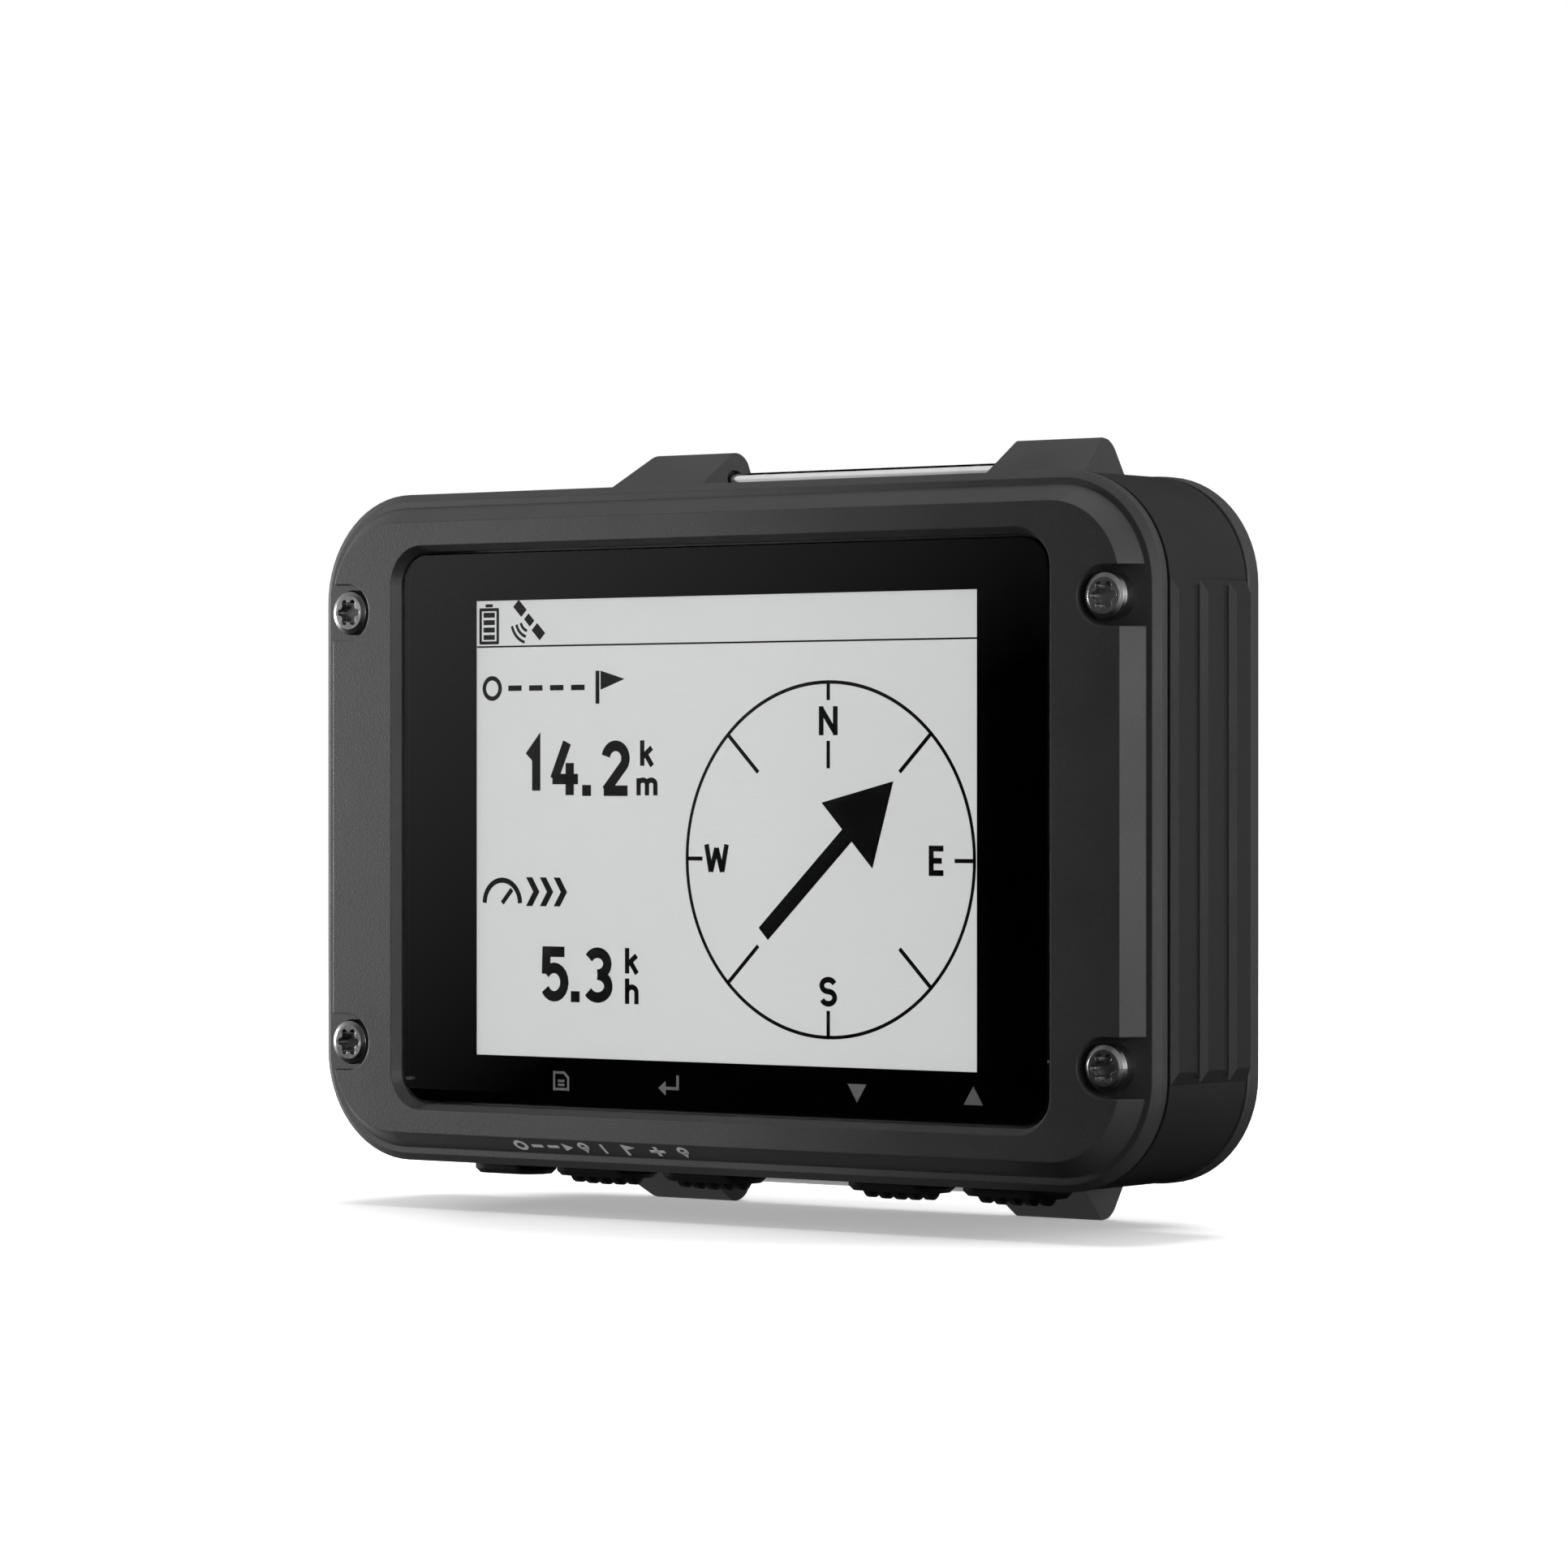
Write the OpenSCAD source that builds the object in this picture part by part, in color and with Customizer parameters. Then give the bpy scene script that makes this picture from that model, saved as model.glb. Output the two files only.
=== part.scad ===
// Wrist-worn aviation navigator: a wide screen in a bevelled bezel, a ribbed middle case,
// five keys along the bottom edge, strap lugs at the back and two AAA cells under a rear cover.
// Working axes: x to the right, y up the screen, z into the case from the bezel's front face.
// stand() turns them upright: +Z up, the screen facing -Y, the lug tips at Z = 0.

/* [Case] */
// Width over the bezel
case_w = 77.8; // [75:0.2:86]
// Height over the bezel
case_h = 51.65; // [51:0.05:57]
// Depth from the bezel's front face to the back
case_d = 23.6; // [23.2:0.1:26]
// Corner radius of the bezel's outline
bezel_r = 8.3; // [7.5:0.1:9.5]
// Corner radius of the rear housing's outline
rear_r = 8; // [7:0.1:9.5]
// Wall of the middle case
wall = 2.45; // [2.2:0.05:2.8]
// Set-back of the middle case from the bezel's outline
mid_inset = 0.05; // [0.05:0.05:0.3]
// Depth of the middle case
mid_d = 10.1; // [9.8:0.1:12]
// Depth of the rear housing's edge lip
lip_d = 1.4; // [1:0.1:2]

/* [Bezel] */
// Depth of the bezel's outer edge
bezel_d = 2.75; // [2.6:0.05:3.4]
// Width of the slope round the front face
bevel_w = 1.2; // [0.8:0.05:1.4]
// Depth of the slope round the front face
bevel_d = 1.6; // [1.3:0.05:1.9]
// Width of the ledge outside the slope
ledge_w = 0.5; // [0.3:0.05:0.9]
// Width of the rim's chamfer
rim_w = 0.55; // [0.3:0.05:0.8]
// Depth of the rim's chamfer
rim_d = 0.42; // [0.2:0.02:0.6]
// Shadow gap behind the bezel
front_gap = 0.46; // [0.2:0.02:0.5]
// Shadow gap in front of the rear housing
rear_gap = 0.28; // [0.2:0.02:0.5]
// Distance from the bezel's side to the window
window_side = 8.15; // [8:0.05:9.5]
// Distance from the bezel's top or bottom to the window
window_end = 4.05; // [3.9:0.05:4.8]
// Corner radius of the window
window_r = 3; // [2.5:0.1:5]
// Width of the window's inner chamfer
window_slope_w = 0.45; // [0.2:0.05:0.7]
// Depth of the lens below the front face
lens_sink = 0.77; // [0.5:0.01:0.9]

/* [Screen] */
// Thickness of the lens
lens_t = 1.1; // [0.8:0.1:1.2]
// Gap between the lens and its window
lens_gap = 0.2; // [0.1:0.05:0.3]
// Distance from the window's side to the picture
border_side = 7.35; // [7:0.05:8.5]
// Distance from the window's top or bottom to the picture
border_end = 4.35; // [4:0.05:5.2]
// Border of the panel round the picture
panel_border = 1.7; // [1.2:0.1:1.8]
// Thickness of the display panel
panel_t = 1.4; // [1:0.1:1.5]

/* [Screws] */
// Distance of the case screws from the bezel's side
screw_edge = 3.7; // [3.3:0.05:3.8]
// Distance of the case screws from the bezel's top or bottom
screw_end = 9.1; // [8.8:0.05:9.8]
// Diameter of a case screw's head
screw_head = 3.5; // [3:0.1:3.6]
// Width of the notch round a case screw
notch_w = 4.4; // [4:0.1:4.8]
// Thread diameter of the case screws
screw_d = 2; // [1.6:0.1:2.2]

/* [Ribs] */
// Ribs on each short side
rib_count = 3; // [2:1:4]
// Length of a rib at its base
rib_l = 36; // [30:0.5:38]
// Height of a rib
rib_h = 0.36; // [0.2:0.02:0.4]
// Length of the chamfer at a rib's end
rib_end = 0.9; // [0.5:0.05:1.5]

/* [Keys] */
// Distance from the bezel's side to the first key
key_side = 11.45; // [11:0.05:12]
// Gap between the power key and the page key
power_gap = 1.25; // [1.1:0.05:1.4]
// Gap between a pair of ridged keys
key_gap = 1.65; // [1.4:0.05:2]
// Depth of the row of keys behind the front face
key_z = 7.1; // [7:0.1:7.6]
// Width of a ridged key
key_w = 8.7; // [8:0.1:9]
// Width of the power key
power_w = 6.85; // [6:0.05:7]
// Depth of a key, front to back
key_deep = 4; // [3.6:0.1:4.4]
// Height of a key's collar below the bezel
key_proud = 0.9; // [0.7:0.05:1.2]
// Height of the ridged crest on its collar
crest_h = 0.65; // [0.5:0.05:0.9]
// Ridges on a key
ridge_count = 5; // [4:1:8]
// Travel of a key
key_travel = 0.6; // [0.4:0.05:0.8]

/* [Strap] */
// Height over the lug tips
overall_h = 58.8; // [57.6:0.1:62]
// Width between a pair of lugs at their ramps
lug_gap = 27; // [24:0.2:28]
// Width of a lug at its tip
lug_w = 7.7; // [6:0.1:8]
// Slope of a lug's front, up from the case's back
lug_rise = 32.5; // [28:0.1:36]
// Depth of a lug's back behind the bezel's front face
lug_d = 22.35; // [22:0.05:23]
// Radius of a lug's tip
lug_tip_r = 0.95; // [0.7:0.05:1.3]
// Diameter of a strap bar
bar_d = 1.6; // [1.4:0.1:1.7]

/* [Battery] */
// Diameter of a AAA cell
cell_d = 10.5; // [10.1:0.1:10.5]
// Length of a AAA cell over its tip
cell_l = 44.5; // [43:0.1:44.6]
// Thickness of the battery cover
cover_t = 1.3; // [1.2:0.1:1.6]
// Width of the battery cover
cover_w = 57; // [56:0.5:58]
// Height of the battery cover
cover_h = 37; // [36.4:0.2:37.6]
// Spacing of the two cover screws
cover_pitch = 27.2; // [27:0.1:28]

/* [Hidden] */
$fn = 64;

// Margin by which a cut runs past a face, and the clearances between pieces
past = 0.5;
fit = 0.05;
slack = 0.25;

// Depths of the shells, front to back
half_w = case_w / 2;
half_h = case_h / 2;
z_mid = bezel_d + front_gap;
z_rear = z_mid + mid_d;
z_lip = z_rear + rear_gap;
z_plate = z_lip + lip_d;

// The middle case, and the space inside it
mid_half_w = half_w - mid_inset;
mid_half_h = half_h - mid_inset;
mid_r = bezel_r - mid_inset;
room_w = mid_half_w - wall;
room_h = mid_half_h - wall;
land_inset = 0.75;

// Seals lie in grooves in the middle of the middle case's wall
seal_w = 0.8;
seal_d = 0.6;
seal_out = mid_inset + (wall - seal_w) / 2;

// Shares of a rib's pitch in its front slope and its crest
rib_front = 0.155;
rib_crest = 0.465;

// The window and the picture in it
window_w = case_w - 2 * window_side;
window_h = case_h - 2 * window_end;
picture_w = window_w - 2 * border_side;
picture_h = window_h - 2 * border_end;

// The screen's stack, from the lens back to the board
face_inset = bevel_w + ledge_w + rim_w;
lens_half_w = window_w / 2 - window_slope_w - lens_gap;
lens_half_h = window_h / 2 - window_slope_w - lens_gap;
lens_r = window_r - window_slope_w - lens_gap;
bond_t = 0.03;
mask_t = 0.1;
z_lens = lens_sink + lens_t;
z_mask = z_lens + bond_t;
z_shelf = z_mask + mask_t;
panel_half_w = picture_w / 2 + panel_border;
panel_half_h = picture_h / 2 + panel_border;
shelf_gap = 0.5;
z_panel = z_shelf + fit;
backlight_t = 0.6;
z_backlight = z_panel + panel_t;
z_tray = z_backlight + backlight_t;
tray_floor = 1.15;
tray_rim = 1.6;
tray_fit = 0.15;
z_board = z_tray + tray_floor;
board_t = 1;
z_parts = z_board + board_t;

// Case screws: the bezel's from the front, the rear housing's from behind, in one tower
screw_x = half_w - screw_edge;
screw_y = half_h - screw_end;
screw_sink = 0.14;
tower_r = 2.5;
front_thread_l = 4.6;
rear_thread_l = 4.2;
front_screw_tip = z_mid + front_thread_l;
rear_screw_tip = z_rear - rear_thread_l;
rear_head_h = 0.9;
rear_head_sink = 0.1;

// Screws that hold the board on a shelf beside each tower
board_screw_in = 4.65;
board_screw_x = screw_x - board_screw_in;
board_screw_d = 1.6;
board_screw_l = 4;
board_head_r = 1.4;
board_head_h = 0.7;
shelf_half_h = 2.2;
tower_gap = 0.35;
board_half_w = screw_x - tower_r - tower_gap;

// The row of keys, counted down from the middle of the screen
key_row_half = half_w - key_side;
power_x = power_w / 2 - key_row_half;
page_x = power_x + (power_w + key_w) / 2 + power_gap;
enter_x = page_x + key_w + key_gap;
up_x = key_row_half - key_w / 2;
down_x = up_x - key_w - key_gap;
key_flat = 0.1;
key_r = key_deep / 2 - key_flat;
key_seal_t = 0.5;
seal_top = room_h - key_seal_t;
flange_t = 0.7;
flange_proud = 0.8;
key_play = 0.1;
flange_low = seal_top - key_play;
flange_top = flange_low - flange_t;
plunger_h = 0.3;
switch_h = 1.2;
switch_w = 3.6;
switch_deep = 3;
plunger_tip = flange_top - key_travel - key_play;
switch_low = plunger_tip - plunger_h;
key_board_low = switch_low - switch_h;
key_board_t = 0.8;
key_board_top = key_board_low - key_board_t;
key_board_deep = 3.6;
post_w = 2;
post_gap = 0.4;
post_edge = 1.3;
key_board_half_w = key_row_half + post_gap + post_w + post_edge;
collar_low = half_h + key_proud;
crest_low = collar_low + crest_h;
crest_side = 1.05;
crest_w = key_w - 2 * crest_side;
crest_r = 1;
crest_sag = 0.12;
ridge_d = 0.4;
ridge_share = 0.3;
ALL_KEYS = [[power_x, power_w], [page_x, key_w], [enter_x, key_w], [down_x, key_w], [up_x, key_w]];

// The main board reaches from just above the key board to the top of the case
key_board_gap = 0.65;
board_top_gap = 1.75;
board_low = key_board_gap - key_board_top;
board_high = room_h - board_top_gap;

// The socket, on the side away from the strap's buckle, and its weather cap
socket_w = 7.5;
socket_h = 2.6;
socket_l = 5.3;
socket_z = z_parts + socket_h / 2;
cap_t = 1.3;
cap_half_h = 3.2;
cap_top = 6.4;
cap_pivot = -6.35;
cap_r = cap_t / 2;
cap_gap = 0.15;
cap_plug_l = 0.95;
cap_strap_l = 2.2;
cap_side = -mid_half_w;
cap_low = cap_pivot - cap_r - cap_gap - cap_strap_l;

// The battery bay, counted in from the back
cover_gap = 0.1;
z_recess = case_d - cover_t - cover_gap;
cell_back = 0.2;
z_cell = case_d - cover_t - cell_back - cell_d / 2;
cell_gap = 0.1;
z_bay = z_cell - cell_d / 2 - cell_gap;
bay_floor = 1;
z_tub = z_bay - bay_floor;
cell_side = 0.25;
cell_y = cell_d / 2 + cell_side;
contact_t = 0.4;
spring_l = 4.2;
bay_half_w = (cell_l + spring_l) / 2 + contact_t;
bay_half_h = cell_y + cell_d / 2 + cell_side;
tub_wall = 1.3;
tail_half = 1.2;
cover_seal_w = 0.8;
cover_seal_d = 0.8;
cover_seal_in = 0.6;

// The hump at the back that holds the bay, and the recess for its cover
recess_gap = 0.2;
recess_rim = 1.5;
hump_taper = 1.4;
hump_half_w = cover_w / 2 + recess_gap + recess_rim + hump_taper;
hump_half_h = cover_h / 2 + recess_gap + recess_rim + hump_taper;
hump_r = 6.5;
hump_wall = 1.6;
cover_r = 4;
cover_boss_r = 3.2;
cover_boss_h = 1.7;
cover_screw_head_r = 2.5;
cover_screw_head_h = 1.45;
cover_screw_r = 1.25;
cover_screw_y = cover_pitch / 2;
cover_head_sink = 0.1;
z_cover_head = case_d - cover_screw_head_h - cover_head_sink;
insert_r = 2;
insert_l = 4;
boss_gap = 0.3;
z_insert = z_recess - cover_boss_h - boss_gap;

// Parts on the board: low ones under the battery tub, tall ones above it
parts_room = z_tub - z_parts;
can_x = -5;
can_w = 22;
can_h = 18;
chip_gap = 4;
aerial_half = 6;
part_edge = 0.6;

// Lugs and the bars between them
lug_top = overall_h / 2;
lug_tip_y = lug_top - lug_tip_r;
lug_tip_z = lug_d - lug_tip_r;
lug_in = lug_gap / 2;
lug_out = lug_in + lug_w;
lug_flare = 0.435;
lug_lean = 22.8;
lug_swell = 0.85;
lug_corner = 0.15;
bar_in = 2.47;
bar_back = 1.55;
bar_y = lug_top - bar_in;
bar_z = lug_d - bar_back;
bar_hold = 3.5;
bar_mouth = 0.25;

// Turns the working axes upright and puts the lug tips on the ground
module stand() {
    translate([0, -case_d / 2, overall_h / 2])
        mirror([0, 1, 0])
            rotate([90, 0, 0])
                children();
}

// Slab with round corners; its edge follows [distance outside the outline, depth] points
module slab(half_x, half_y, radius, edge) {
    first = edge[0][1];
    last = edge[len(edge) - 1][1];
    section = concat([[0, first]], [for (point = edge) [radius + point[0], point[1]]], [[0, last]]);
    for (quarter = [0:3]) {
        along = quarter % 2 == 0 ? half_x - radius : half_y - radius;
        away = quarter % 2 == 0 ? half_y - radius : half_x - radius;
        rotate([0, 0, 90 * quarter]) {
            translate([-along, away, 0])
                rotate([90, 0, 90])
                    linear_extrude(2 * along)
                        polygon(section);
            translate([along, away, 0])
                rotate_extrude(angle = 90)
                    polygon(section);
        }
    }
    translate([radius - half_x, radius - half_y, first])
        cube([2 * (half_x - radius), 2 * (half_y - radius), last - first]);
}

// Slab with a straight edge between two depths
module plain_slab(half_x, half_y, radius, from, to) {
    slab(half_x, half_y, radius, [[0, from], [0, to]]);
}

// Ring of a given width, inward from a rounded outline
module ring(half_x, half_y, radius, width, from, to) {
    difference() {
        plain_slab(half_x, half_y, radius, from, to);
        plain_slab(half_x - width, half_y - width, radius - width, from - past, to + past);
    }
}

// Box between two corners
module box(low, high) {
    translate(low)
        cube(high - low);
}

// Children at the four case screws
module at_case_screws() {
    for (side = [-1, 1], level = [-1, 1])
        translate([side * screw_x, level * screw_y, 0])
            children();
}

// Children at the four board screws
module at_board_screws() {
    for (side = [-1, 1], level = [-1, 1])
        translate([side * board_screw_x, level * screw_y, 0])
            children();
}

// Children at the place of a key, with z pointing down out of the case
module at_key(place) {
    translate([place, 0, key_z])
        rotate([90, 0, 0])
            children();
}

// Six-lobed driver recess
module star_recess(reach, depth) {
    lobe_r = reach * 0.25;
    translate([0, 0, -past])
        linear_extrude(depth + past) {
            circle(reach * 0.72);
            for (lobe = [0:5])
                rotate(60 * lobe)
                    translate([reach - lobe_r, 0])
                        circle(lobe_r);
        }
}

// Outer frame: sloped front, ledge and rim, notched at the screws, with a shelf for the lens
module front_bezel() {
    color("#4a4a4b")
    difference() {
        union() {
            slab(half_w, half_h, bezel_r, [[-face_inset, 0], [-face_inset + bevel_w, bevel_d],
                [-rim_w, bevel_d], [0, bevel_d + rim_d], [0, bezel_d]]);
            plain_slab(half_w - land_inset, half_h - land_inset, bezel_r - land_inset, bevel_d, z_mid);
        }
        slab(window_w / 2, window_h / 2, window_r,
            [[past, -past * lens_sink / window_slope_w], [-window_slope_w, lens_sink],
                [-window_slope_w, z_shelf]]);
        box([-panel_half_w - shelf_gap, -panel_half_h - shelf_gap, 0],
            [panel_half_w + shelf_gap, panel_half_h + shelf_gap, z_mid + past]);
        for (side = [-1, 1], level = [-1, 1])
            translate([side * screw_x, level * screw_y, 0]) {
                translate([0, 0, -past])
                    cylinder(d = notch_w, h = bevel_d + past);
                translate([side > 0 ? 0 : -screw_edge, -notch_w / 2, -past])
                    cube([screw_edge, notch_w, bevel_d + past]);
                cylinder(r = screw_d / 2 + slack, h = z_mid + past);
            }
    }
}

// Flat window with broken edges, let into the bezel from the front
module display_lens() {
    break_w = 0.1;
    color("#20242699")
        slab(lens_half_w, lens_half_h, lens_r,
            [[-break_w, lens_sink], [0, lens_sink + break_w], [0, z_lens]]);
}

// Black printed border on the bezel's shelf, a film of bond behind the lens
module lens_mask() {
    color("#060606")
    difference() {
        plain_slab(lens_half_w, lens_half_h, lens_r, z_mask, z_shelf);
        box([-picture_w / 2, -picture_h / 2, z_mask - past],
            [picture_w / 2, picture_h / 2, z_shelf + past]);
    }
}

// Sealing cord between the bezel and the middle case
module front_seal() {
    color("#202020")
        ring(half_w - seal_out, half_h - seal_out, bezel_r - seal_out, seal_w, z_mid, z_mid + seal_d);
}

// Sealing cord between the middle case and the rear housing
module rear_seal() {
    color("#202020")
        ring(half_w - seal_out, half_h - seal_out, bezel_r - seal_out, seal_w, z_rear - seal_d, z_rear);
}

// One rib up the case's side: a front slope, a flat crest and a back that curves down to the next rib
module rib(pitch, deep) {
    front = rib_front * pitch;
    crest_end = front + rib_crest * pitch;
    fall = pitch - crest_end;
    fall_r = (fall * fall + rib_h * rib_h) / (2 * rib_h);
    base = -wall / 2;
    intersection() {
        rotate([90, 0, 0])
            linear_extrude(rib_l, center = true) {
                polygon([[base, 0], [0, 0], [rib_h, front], [rib_h, crest_end], [base, crest_end]]);
                intersection() {
                    translate([rib_h - fall_r, crest_end])
                        circle(fall_r);
                    translate([base, 0])
                        square([rib_h - base, pitch]);
                }
            }
        linear_extrude(deep)
            polygon([[base, -rib_l / 2], [0, -rib_l / 2], [rib_h, rib_end - rib_l / 2],
                [rib_h, rib_l / 2 - rib_end], [0, rib_l / 2], [base, rib_l / 2]]);
    }
}

// The ribs of the right side; the last one's crest runs out at the case's back edge
module side_ribs() {
    last = rib_front + rib_crest;
    pitch = mid_d / (rib_count - 1 + last);
    for (row = [0:rib_count - 1])
        translate([mid_half_w, 0, z_mid + row * pitch])
            rib(pitch, row < rib_count - 1 ? pitch : last * pitch);
}

// Pocket for the weather cap and the way through the wall to the socket
module socket_opening() {
    margin = 0.5;
    box([cap_side - past - rib_h, cap_low, socket_z - cap_half_h - slack],
        [cap_side + cap_t + cap_gap, cap_top + slack, socket_z + cap_half_h + slack]);
    box([cap_side - past, -socket_w / 2 - margin, socket_z - socket_h / 2 - margin],
        [-room_w + past, socket_w / 2 + margin, socket_z + socket_h / 2 + margin]);
}

// Posts on the bottom wall that carry the key board, grown by a margin
module key_posts(margin) {
    inner = key_row_half + post_gap;
    outer = inner + post_w;
    middle_from = enter_x + key_w / 2 + post_gap;
    middle_to = down_x - key_w / 2 - post_gap;
    for (post = [[-outer, -inner], [middle_from, middle_to], [inner, outer]])
        box([post[0] - margin, -room_h - wall / 2, key_z - key_board_deep / 2 - margin],
            [post[1] + margin, -key_board_low, key_z + key_board_deep / 2 + margin]);
}

// Ring-shaped middle case with its ribs, screw towers, board shelves and key openings
module mid_case() {
    color("#3a3a3b")
    difference() {
        union() {
            ring(mid_half_w, mid_half_h, mid_r, wall, z_mid, z_rear);
            side_ribs();
            mirror([1, 0, 0])
                side_ribs();
            for (side = [-1, 1], level = [-1, 1]) {
                translate([side * screw_x, level * screw_y, z_mid])
                    cylinder(r = tower_r, h = mid_d);
                translate([side > 0 ? board_screw_x - shelf_half_h : -room_w - wall / 2,
                    level * screw_y - shelf_half_h, z_parts])
                    cube([room_w + wall / 2 - board_screw_x + shelf_half_h, 2 * shelf_half_h,
                        z_rear - z_parts]);
            }
            key_posts(0);
        }
        for (depth = [z_mid - past, z_rear - seal_d])
            ring(half_w - seal_out, half_h - seal_out, bezel_r - seal_out, seal_w, depth,
                depth + seal_d + past);
        at_case_screws()
            translate([0, 0, z_mid - past])
                cylinder(r = screw_d / 2 + fit, h = mid_d + 2 * past);
        at_board_screws()
            translate([0, 0, z_parts - past])
                cylinder(r = board_screw_d / 2 + fit, h = board_screw_l + past);
        for (key = ALL_KEYS)
            at_key(key[0])
                plain_slab(key[1] / 2 + slack, key_deep / 2 + slack, key_r + slack, room_h - past,
                    half_h + past);
        socket_opening();
    }
}

// One strap lug at the upper right: a ramp from the back of the lip to a rounded tip,
// with an inner flank that leans in from the ramp's edge towards the bar
module lug() {
    tangent_y = lug_tip_y + lug_tip_r * cos(lug_rise);
    tangent_z = lug_tip_z - lug_tip_r * sin(lug_rise);
    foot_z = z_lip + lip_d / 2;
    foot_y = tangent_y - (tangent_z - foot_z) * tan(lug_rise);
    root_y = hump_half_h - hump_taper - hump_wall;
    flare = (lug_top - root_y) * lug_flare;
    difference() {
        intersection() {
            rotate([90, 0, 90])
                linear_extrude(lug_out + flare) {
                    polygon([[root_y, foot_z], [foot_y, foot_z], [tangent_y, tangent_z],
                        [lug_tip_y, lug_tip_z], [lug_tip_y, lug_d], [root_y, lug_d]]);
                    translate([lug_tip_y, lug_tip_z])
                        circle(lug_tip_r);
                }
            linear_extrude(lug_d)
                polygon([[lug_in - lug_swell, root_y], [lug_in - lug_swell, lug_top],
                    [lug_out - lug_corner, lug_top],
                    [lug_out + lug_corner * lug_flare, lug_top - lug_corner], [lug_out + flare, root_y]]);
        }
        translate([lug_in, tangent_y, tangent_z])
            rotate([-lug_rise, 0, 0])
                rotate([0, 0, -lug_lean])
                    box([-case_w, -case_d, -case_d], [0, case_d, case_d]);
    }
}

// Children at the four lugs
module at_lugs() {
    for (side = [0, 1], level = [0, 1])
        mirror([side, 0, 0])
            mirror([0, level, 0])
                children();
}

// Battery tub, open at the back
module tub(from) {
    box([-bay_half_w - tub_wall, -bay_half_h - tub_wall, from],
        [bay_half_w + tub_wall, bay_half_h + tub_wall, z_recess]);
}

// Rear shell: lip, hump, battery tub and lugs
module rear_housing() {
    lip_break = 0.12;
    boss_wall = 1.2;
    vent_r = 0.5;
    pocket_top = z_recess - hump_wall;
    color("#434344")
    difference() {
        union() {
            plain_slab(half_w - land_inset, half_h - land_inset, rear_r - land_inset, z_rear, z_plate);
            slab(half_w, half_h, rear_r, [[-lip_break, z_lip], [0, z_lip + lip_break],
                [0, z_plate - lip_break], [-lip_break, z_plate]]);
            slab(hump_half_w, hump_half_h, hump_r, [[0, z_lip], [0, z_plate + hump_taper],
                [-hump_taper / 2, case_d - hump_taper / 2], [-hump_taper, case_d]]);
            tub(z_tub);
            at_lugs()
                lug();
        }
        difference() {
            plain_slab(hump_half_w - hump_taper - hump_wall, hump_half_h - hump_taper - hump_wall,
                hump_r - hump_wall, z_rear - past, pocket_top);
            tub(z_rear - 2 * past);
            for (level = [-1, 1])
                translate([0, level * cover_screw_y, z_rear - past])
                    cylinder(r = cover_boss_r + slack + boss_wall, h = case_d);
        }
        box([-bay_half_w, -bay_half_h, z_bay], [bay_half_w, bay_half_h, case_d + past]);
        plain_slab(cover_w / 2 + recess_gap, cover_h / 2 + recess_gap, cover_r + recess_gap, z_recess,
            case_d + past);
        cover_cord(past);
        for (level = [-1, 1])
            translate([0, level * cover_screw_y, 0]) {
                translate([0, 0, z_insert])
                    cylinder(r = cover_boss_r + slack, h = case_d);
                translate([0, 0, z_insert - insert_l])
                    cylinder(r = insert_r, h = insert_l + past);
            }
        at_case_screws() {
            translate([0, 0, z_rear - past])
                cylinder(r = screw_d / 2 + slack, h = case_d);
            translate([0, 0, z_plate - rear_head_h - rear_head_sink])
                cylinder(r = screw_head / 2 + slack, h = case_d);
        }
        for (level = [-1, 1])
            translate([0, level * bar_y, bar_z])
                rotate([0, 90, 0]) {
                    cylinder(d = bar_d, h = lug_gap + 2 * bar_hold, center = true);
                    cylinder(r = bar_d / 2 + bar_mouth, h = lug_gap, center = true);
                }
        for (level = [-1, 1])
            box([bay_half_w - contact_t, level * cell_y - tail_half, z_tub - past],
                [bay_half_w, level * cell_y + tail_half, z_bay + past]);
        translate([screw_x, 0, z_rear - past])
            cylinder(r = vent_r, h = case_d);
        translate([screw_x, 0, z_plate - lip_d / 2])
            cylinder(r = screw_head / 2, h = case_d);
    }
}

// Cord or groove just inside the cover's edge, from the recess's floor down
module cover_cord(above) {
    ring(cover_w / 2 - cover_seal_in, cover_h / 2 - cover_seal_in, cover_r - cover_seal_in, cover_seal_w,
        z_recess - cover_seal_d, z_recess + above);
}

// Pan-headed screw pointing into the case from depth zero
module pan_screw(head_r, head_h, thread_r, tip) {
    round_w = head_r * 0.25;
    recess = head_r * 0.62;
    difference() {
        rotate_extrude()
            polygon([[0, 0], [head_r - round_w, 0], [head_r - round_w / 4, round_w / 3],
                [head_r, round_w], [head_r, head_h], [thread_r, head_h], [thread_r, tip - thread_r / 2],
                [thread_r / 2, tip], [0, tip]]);
        star_recess(recess, head_h * 0.4);
    }
}

// Four screws through the bezel's notches
module bezel_screws() {
    color("#8c8c8e")
        at_case_screws()
            translate([0, 0, screw_sink])
                pan_screw(screw_head / 2, bevel_d - screw_sink, screw_d / 2, front_screw_tip - screw_sink);
}

// Four screws through the rear lip
module rear_screws() {
    top = z_plate - rear_head_sink;
    color("#8c8c8e")
        at_case_screws()
            translate([0, 0, top])
                mirror([0, 0, 1])
                    pan_screw(screw_head / 2, rear_head_h, screw_d / 2, top - rear_screw_tip);
}

// Reflective liquid-crystal panel
module display_panel() {
    color("#d4d4d4")
        box([-panel_half_w, -panel_half_h, z_panel], [panel_half_w, panel_half_h, z_backlight]);
}

// Light guide behind the panel
module backlight() {
    color("#f2f2ee")
        box([-panel_half_w, -panel_half_h, z_backlight], [panel_half_w, panel_half_h, z_tray]);
}

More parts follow.
